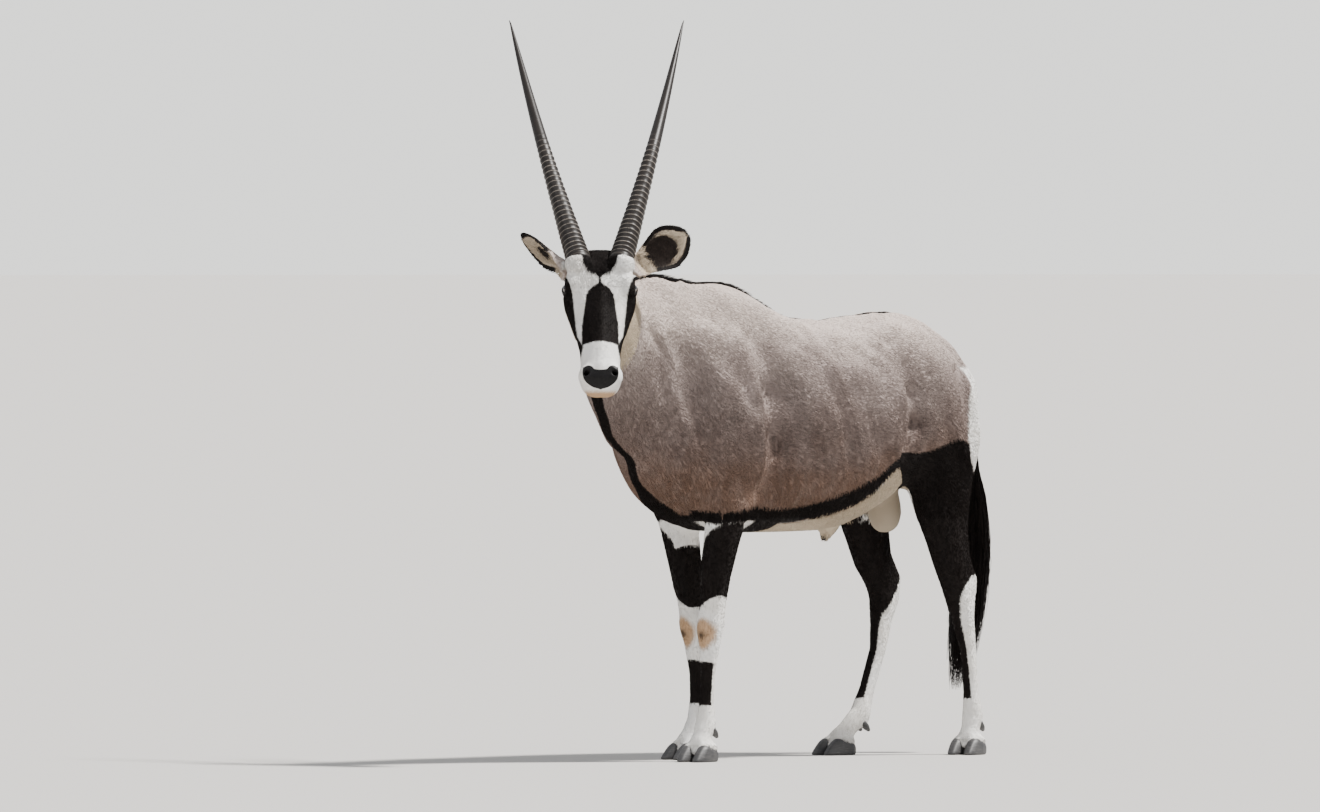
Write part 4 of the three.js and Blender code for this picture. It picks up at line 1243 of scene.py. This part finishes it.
def strands(name, paths, radii, spots_on_map, values):
    """Tubes with three sides along many paths, n by k by 3, with n by k radii, closed at foot and tip."""
    count, steps = paths.shape[:2]
    along = np.gradient(paths, axis=1)
    along /= np.maximum(np.linalg.norm(along, axis=2, keepdims=True), 1e-9)
    guide = np.broadcast_to(np.array([0.31, -0.52, 0.79]), along.shape)
    first = np.cross(along, guide)
    first /= np.maximum(np.linalg.norm(first, axis=2, keepdims=True), 1e-9)
    second = np.cross(along, first)
    turns = circle(3)
    rings = (paths[:, :, None] + radii[:, :, None, None] * (
        np.cos(turns)[:, None] * first[:, :, None] + np.sin(turns)[:, None] * second[:, :, None]))
    first_corners = (np.arange(count) * steps * 3)[:, None, None]
    quads = (first_corners + grid_faces(steps, 3)).reshape(-1, 4)
    last = (steps - 1) * 3
    ends = (first_corners + np.array([(0, 2, 1), (last, last + 1, last + 2)])).reshape(-1, 3)
    mesh = new_mesh(name, rings.reshape(-1, 3), quads, ends)
    write_floats(mesh, {key: np.repeat(depth, steps * 3) for key, depth in values.items()})
    patch = np.stack([np.tile([0, 0.5, 1], steps), np.repeat(np.linspace(0, 1, steps), 3)], -1)
    write_map(mesh, (spots_on_map[:, None, :] + (patch - 0.5) * PATCH).reshape(-1, 2))
    mesh.materials.append(coat_look)
    piece = add_object(name, mesh)
    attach(piece, "root")
    return piece


def tapered(count, width, taper):
    """Radii of short strands: the width at the foot, less a share of it, the taper, at the tip."""
    return np.tile(width * (1 - taper * np.linspace(0, 1, SHORT_STEPS)), (count, 1))


def hair_values(count, **depths):
    """Marking depths for a set of strands: outside every marking except the ones named."""
    values = {name: np.full(count, -1.0) for name in MARK_NAMES}
    values["shade"] = rng.normal(0, 0.6, count)
    values.update({name: np.full(count, depth) for name, depth in depths.items()})
    return values


STRANDS = int(3000 * MANY)
STEPS = 8
share = np.linspace(0, 1, STEPS)[None, :]
root_share = rng.random(STRANDS) ** 0.8
turn = rng.uniform(0, 2 * math.pi, STRANDS)
dock_tip, dock_top = at(-0.634, -0.008, 0.722), at(-0.600, -0.003, 0.842)
roots = dock_tip + root_share[:, None] * (dock_top - dock_tip)
ring_way = np.stack([np.cos(turn), np.sin(turn), np.zeros(STRANDS)], -1)
spread = rng.random(STRANDS) ** 0.5
bottom = 0.160 + 0.36 * rng.random(STRANDS) ** 0.9
# The switch from its tip up: height, its middle forward and left, and how far the hairs spread from it
TAIL_LINE = np.array([
    (0.165, -0.614, -0.056, 0.016), (0.25, -0.624, -0.046, 0.042), (0.34, -0.632, -0.036, 0.056),
    (0.50, -0.642, -0.020, 0.052), (0.60, -0.642, -0.014, 0.040), (0.727, -0.634, -0.008, 0.022),
    (0.86, -0.60, 0.0, 0.013)])
strand_z = roots[:, 2:] + (bottom - roots[:, 2])[:, None] * share
middle_s, middle_l, reach = (np.interp(strand_z, TAIL_LINE[:, 0], column) for column in TAIL_LINE[:, 1:].T)
wave = 0.008 * np.sin(share * rng.uniform(3, 8, STRANDS)[:, None] + rng.uniform(0, 6.28, STRANDS)[:, None])
out = (0.25 + 0.75 * np.minimum(1, share * 2.2)) * spread[:, None] * reach
x = MIDLINE + middle_l + ring_way[:, :1] * out * 0.85 + wave
y = BACK_MIDDLE - middle_s + ring_way[:, 1:2] * out * 0.75 + 0.6 * wave[:, ::-1]
tail_paths = np.stack([x, y, strand_z], -1)
tail_radii = 0.0011 * (1 - share**3 * 0.85) * rng.uniform(0.7, 1.2, STRANDS)[:, None]
tail_spots = np.stack([0.02 + 0.95 * turn / (2 * math.pi), 0.02 + 0.95 * root_share], -1)
tail = strands(
    "tail_switch", tail_paths, tail_radii, tail_spots, hair_values(STRANDS, dark=0.01))
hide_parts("tail_hair")

# Roots of the mane lie on the crest, from the poll to behind the withers.
SHORT_STEPS = 4
gap, over = neck_places(s, l, z)
crest = (np.abs(gap) < 0.011) & (over > 0.03) & (s > -0.02) & (z > 1.08) & (face_past < -0.004) & ~in_ear
roots, normals, _ = scatter(np.where(crest, face_areas, 0), 3000)
crest_s = BACK_MIDDLE - roots[:, 1]
tall = 0.006 + 0.010 * ease(0.0, 0.30, crest_s) + 0.005 * ease(0.36, 0.46, crest_s)
tall *= rng.uniform(0.7, 1.15, len(roots))
share = np.linspace(0, 1, SHORT_STEPS)[None, :, None]
aside, back = rng.normal(0, 0.10, len(roots)), 0.80 + rng.normal(0, 0.15, len(roots))
lean = np.stack([aside, back, np.full(len(roots), 0.80)], -1)
paths = roots[:, None] - 0.001 * normals[:, None] + share * tall[:, None, None] * (
    lean[:, None] + share * np.array([0, 0.5, -0.35]))
strands("mane", paths, tapered(len(roots), 0.0009, 0.85),
        spots("neck", roots), hair_values(len(roots), dark=0.01))

# Roots of the brush between the horns, and below of the hairs inside the ears and on the lids.
brush = (np.abs(face_left) < 42) & (face_down > -56) & (face_down < 26) & (face_deep < 40)
brush &= skin_marks["dark"][skin_faces].mean(1) > 0
roots, normals, picked = scatter(np.where(brush, face_areas, 0), 1500)
part_way = np.sign(face_left[picked])[:, None] * head_left
tall = rng.uniform(0.010, 0.022, len(roots))[:, None, None]
grow = 0.55 * brow_out + 0.75 * down_face + 0.30 * part_way * rng.random((len(roots), 1))
grow += rng.normal(0, 0.12, (len(roots), 3))
paths = roots[:, None] + share * tall * (grow[:, None] - share * 0.40 * brow_out)
strands("brush", paths, tapered(len(roots), 0.0007, 0.85),
        spots("head", roots), hair_values(len(roots), dark=0.01))

ear_paths, ear_roots = [], []
first_corners = skin_faces[:, 0]
for name in EARS:
    t, wide, _ = ear_places(name, face_middles)
    along, wide_way, open_way = ear_axes(*EARS[name])
    inside = (t > 0.16) & (t < 0.92) & (np.abs(wide) < 0.06) & in_ear
    inside &= skin_normals[first_corners] @ open_way > 0.2
    inside &= (skin_marks["shade_and_spot"][first_corners] < 0.008) & (skin_marks["dark"][first_corners] < -0.004)
    roots, normals, picked = scatter(np.where(inside, face_areas, 0), 1100)
    inward = -np.sign(wide[picked])[:, None] * wide_way
    grow = 0.85 * along + 0.30 * inward + 0.30 * open_way + rng.normal(0, 0.15, (len(picked), 3))
    long = rng.uniform(0.008, 0.018, len(picked))[:, None, None]
    ear_paths.append(roots[:, None] + share * long * (grow[:, None] - share * 0.2 * open_way))
    ear_roots.append(roots)
ear_paths, ear_roots = np.concatenate(ear_paths), np.concatenate(ear_roots)
strands("ear_hair", ear_paths, tapered(len(ear_paths), 0.00045, 0.8),
        spots("ear", ear_roots), hair_values(len(ear_paths), cream=0.02))

LASHES = 46
lash_paths = []
for side in (1, -1):
    eye = eye_middle(side)
    gaze, slit, lid_up = eye_frame(side)
    place = np.linspace(-0.9, 0.9, LASHES)[:, None] * SLIT_HALF_LENGTH
    over_slit = SLIT_HALF_HEIGHT * (1 - (place / SLIT_HALF_LENGTH) ** 2) + 0.001
    rim = np.sqrt(np.maximum((EYE_RADIUS + LID_THICK) ** 2 - place**2 - over_slit**2, 0))
    roots = eye + place * slit + over_slit * lid_up + rim * gaze
    grow = 0.8 * gaze + 0.55 * lid_up + 0.5 * place / SLIT_HALF_LENGTH * slit
    grow += rng.normal(0, 0.06, (LASHES, 3))
    lash_paths.append(roots[:, None] + share * 0.012 * (grow[:, None] + share * 0.3 * lid_up))
lash_paths = np.concatenate(lash_paths)
strands("lashes", lash_paths, tapered(len(lash_paths), 0.00035, 0.8),
        spots("face", lash_paths[:, 0]), hair_values(len(lash_paths), dark=0.01))

# Eyes. Wet brown balls with a wide dark iris and a pupil that lies level along the slit of the lids.
# Each is a ball with a slightly bulging cornea, clear over the iris, held by the lids of the hide.
eye_look, tree, shader = new_material("eye", {"Roughness": 0.08, "Coat Weight": 1.0, "Coat Roughness": 0.02})
round_gap, pupil_gap = (
    put(tree, "VectorMath", put(tree, "CombineXYZ", floats(tree, "along_slit"), over, 0.0),
        output=1, operation="LENGTH")
    for over in (floats(tree, "over_slit"), calc(tree, "MULTIPLY", floats(tree, "over_slit"), 2.1)))
threads = noise(tree, put(tree, "TexCoord", output=3), 900, 3)
iris = tint(tree, threads, (0.014, 0.006, 0.003), (0.040, 0.018, 0.009))
ball = tint(tree, rise(tree, round_gap, 0.0125, 0.0145), iris, (0.035, 0.022, 0.018))
ball = tint(tree, rise(tree, pupil_gap, 0.0075, 0.0085), (0.0015, 0.0018, 0.0025), ball)
tree.links.new(ball, shader.inputs["Base Color"])
EYE_SIDES, EYE_RINGS = 48, 32
for name, side in (("left", 1), ("right", -1)):
    eye = eye_middle(side)
    gaze, slit, lid_up = eye_frame(side)
    turn, lean = np.meshgrid(circle(EYE_SIDES), np.linspace(0, math.pi, EYE_RINGS + 2)[1:-1])
    bulge = EYE_RADIUS - 0.0002 + 0.0012 * np.exp(-((lean / 0.55) ** 2))
    flat = np.sin(lean) * bulge
    a, b = flat * np.cos(turn), flat * np.sin(turn)
    rings = eye + a[..., None] * slit + b[..., None] * lid_up + (np.cos(lean) * bulge)[..., None] * gaze
    front, back = eye + gaze * (EYE_RADIUS + 0.001), eye - gaze * (EYE_RADIUS - 0.0002)
    corners, quads, ends = closed_tube(rings, front, back)
    mesh = new_mesh("eye_" + name + "_ball", corners, quads[:, ::-1], ends[:, ::-1])
    write_floats(mesh, {"along_slit": np.append(a, [0, 0]), "over_slit": np.append(b, [0, 0.02])})
    mesh.materials.append(eye_look)
    piece = add_object("eye_" + name + "_ball", mesh)
    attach(piece, "root")
    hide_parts("eye_" + name)

# Horns. Long straight sheaths of black-brown keratin on bony cores, ringed over the lower half and smooth
# Each follows the middle line of its solid, with stacked rings whose sharp upper edges are paler, partly worn
# and partly a painted highlight.
horn_look, tree, shader = new_material("horn", {"Roughness": 0.40, "Specular IOR Level": 0.30})
place = put(tree, "TexCoord", output=3)
fibres = noise(tree, put(tree, "Mapping", place, None, None, (1.0, 1.0, 0.06)), 260, 4, 0.6)
stains = noise(tree, place, 22, 3)
horn_colour = tint(tree, stains, (0.0065, 0.0050, 0.0044), (0.020, 0.0155, 0.0130))
# Pale ring crests: partly wear, partly painted highlight.
worn_share = calc(tree, "MULTIPLY", floats(tree, "worn"), rise(tree, fibres, 0.3, 0.65, 0.35, 1.0))
horn_colour = tint(tree, worn_share, horn_colour, (0.300, 0.262, 0.225))
tree.links.new(horn_colour, shader.inputs["Base Color"])
add_bump(tree, shader, fibres, 0.5, 0.0006)
HORN_RINGS = 27
HORN_SIDES = 48
RINGED = 0.54  # the share of the horn's length that bears rings
RINGED_STEPS, SMOOTH_STEPS = 500, 60
for name, side in (("left", 1), ("right", -1)):
    corners, triangles = shell_of("horn_" + name)
    foot = on_head(-14, side * 51, 26)
    tip = corners[np.argmax(np.linalg.norm(corners - foot, axis=1))].astype(float)
    reach = np.linalg.norm(tip - foot)
    along = (tip - foot) / reach
    stations = np.linspace(0.03, 0.985, 24)
    middles = []
    for t in stations:
        hits = crossings(corners, triangles, (corners - (foot + t * reach * along)) @ along, 0)
        middles.append((hits.min(0) + hits.max(0)) / 2)
    stations = np.append(stations, 1.0)
    bows = np.array([*middles, tip]) - foot - (stations * reach)[:, None] * along
    t = np.concatenate([
        [0.0], np.linspace(0.004, RINGED, RINGED_STEPS), np.linspace(RINGED, 1, SMOOTH_STEPS)[1:]])
    axis = foot + (t * reach)[:, None] * along + np.stack([np.interp(t, stations, bow) for bow in bows.T], -1)
    radius = 0.0305 * (1 - t) ** 0.82 * (1 - 0.12 * np.sin(np.pi * t)) + 0.0012
    ring_count = HORN_RINGS * np.minimum(t / RINGED, 1) ** (1 / 1.12)
    phase = ring_count % 1
    ridge = np.where(phase < 0.72, (phase / 0.72) ** 1.4, 1 - (np.maximum(phase - 0.72, 0) / 0.28) ** 0.8)
    strength = (1 - ease(0.40, RINGED, t)) * ease(0.0, 0.03, t)
    first = np.cross(along, head_left)
    first /= np.linalg.norm(first)
    second = np.cross(along, first)
    turn = circle(HORN_SIDES)
    faces_front = 0.5 + 0.5 * np.cos(turn - math.atan2(brow_out @ second, brow_out @ first))
    rough = 0.55 + 0.45 * faces_front[None, :]
    wobble = np.sin(3 * turn[None, :] + 5.1 * np.floor(ring_count)[:, None]) * 0.16
    profile = ridge[:, None] ** (1 + wobble)
    swell = 1 + (0.17 * (profile - 0.65)) * strength[:, None] * rough
    grooves = np.maximum(0, np.sin(turn[None, :] * 14 + 2 * np.sin(t * 9)[:, None]))
    grooves = 1 - 0.006 * grooves * ease(0.3, 0.6, t)[:, None]
    size = radius[:, None] * swell * grooves
    size[-1] = 0.0008
    outward = np.cos(turn)[:, None] * first + np.sin(turn)[:, None] * second
    points = axis[:, None] + size[..., None] * outward
    # The crests of the rings are paled, partly as wear and partly as painted glints of light.
    worn = np.clip((profile - 0.76) / 0.24, 0, 1) * strength[:, None] * rough
    corners, quads, ends = closed_tube(points, axis[0], axis[-1] + 0.0005 * along)
    mesh = new_mesh("horn_" + name + "_sheath", corners, quads[:, ::-1], ends[:, ::-1])
    write_floats(mesh, {"worn": np.append(worn, [0, 0])})
    mesh.materials.append(horn_look)
    piece = add_object("horn_" + name + "_sheath", mesh)
    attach(piece, "root")
    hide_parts("horn_" + name)

# Hooves. Each foot has two pointed half hooves of blue-black horn with flat soles, and two dewclaws behind.
# They are grown from the solids' distance fields and rounded a little, with growth lines along the coronet.
hoof_look, tree, shader = new_material("hoof", {"Roughness": 0.5})
place = put(tree, "TexCoord", output=3)
growth = noise(tree, put(tree, "Mapping", place, None, (0.35, 0.2, 0), (0.12, 0.12, 1.0)), 420, 3, 0.55)
mottle = noise(tree, place, 45, 4)
hoof_colour = tint(tree, mottle, (0.016, 0.016, 0.018), (0.060, 0.059, 0.060))
hoof_colour = tint(tree, rise(tree, growth, 0.45, 0.7, 0, 0.4), hoof_colour, (0.11, 0.105, 0.10))
tree.links.new(hoof_colour, shader.inputs["Base Color"])
add_bump(tree, shader, growth, 0.6, 0.0007)
HEEL_SHARE = 0.66  # of the height at the toe
CLAW_TRIANGLES, DEWCLAW_TRIANGLES = 4200, 1600
for claw in CLAWS + DEWCLAWS:
    low, high = (np.array(corner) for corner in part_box(claw))
    corners, triangles = shell_of(claw)
    grid = Field(low - 0.008, high + 0.008, 0.0017, 4)
    np.minimum(grid.values, grid.of_faces(corners, triangles), out=grid.values)
    grid.values = grid.blurred(0.0030 if claw in CLAWS else 0.0016)
    if claw in CLAWS:
        sole = corners[corners[:, 2] < 0.004, :2]
        ahead = np.linalg.svd(sole - sole.mean(0), full_matrices=False)[2][0]
        ahead = -ahead * np.sign(ahead[1])
        x, y, heights = np.meshgrid(*grid.lines(), indexing="ij")
        along = sole @ ahead
        back_share = (along.max() - x * ahead[0] - y * ahead[1]) / np.ptp(along)
        over_top = heights - high[2] * (1 - (1 - HEEL_SHARE) * ease(0.30, 1.0, back_share))
        walls = grid.values + 0.0030 * ease(-0.014, 0.0, over_top)
        grid.values = np.maximum(walls, np.maximum(over_top, -heights)).astype(np.float32)
    points, quads = grid.surface()
    wanted = CLAW_TRIANGLES if claw in CLAWS else DEWCLAW_TRIANGLES
    mesh = thinned(points, quads, np.ones(len(points)), wanted)
    mesh.name = claw + "_horn"
    mesh.polygons.foreach_set("use_smooth", np.ones(len(mesh.polygons), dtype=bool))
    piece = add_object(claw + "_horn", mesh)
    mesh.materials.append(hoof_look)
    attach(piece, "root")
    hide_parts(claw)
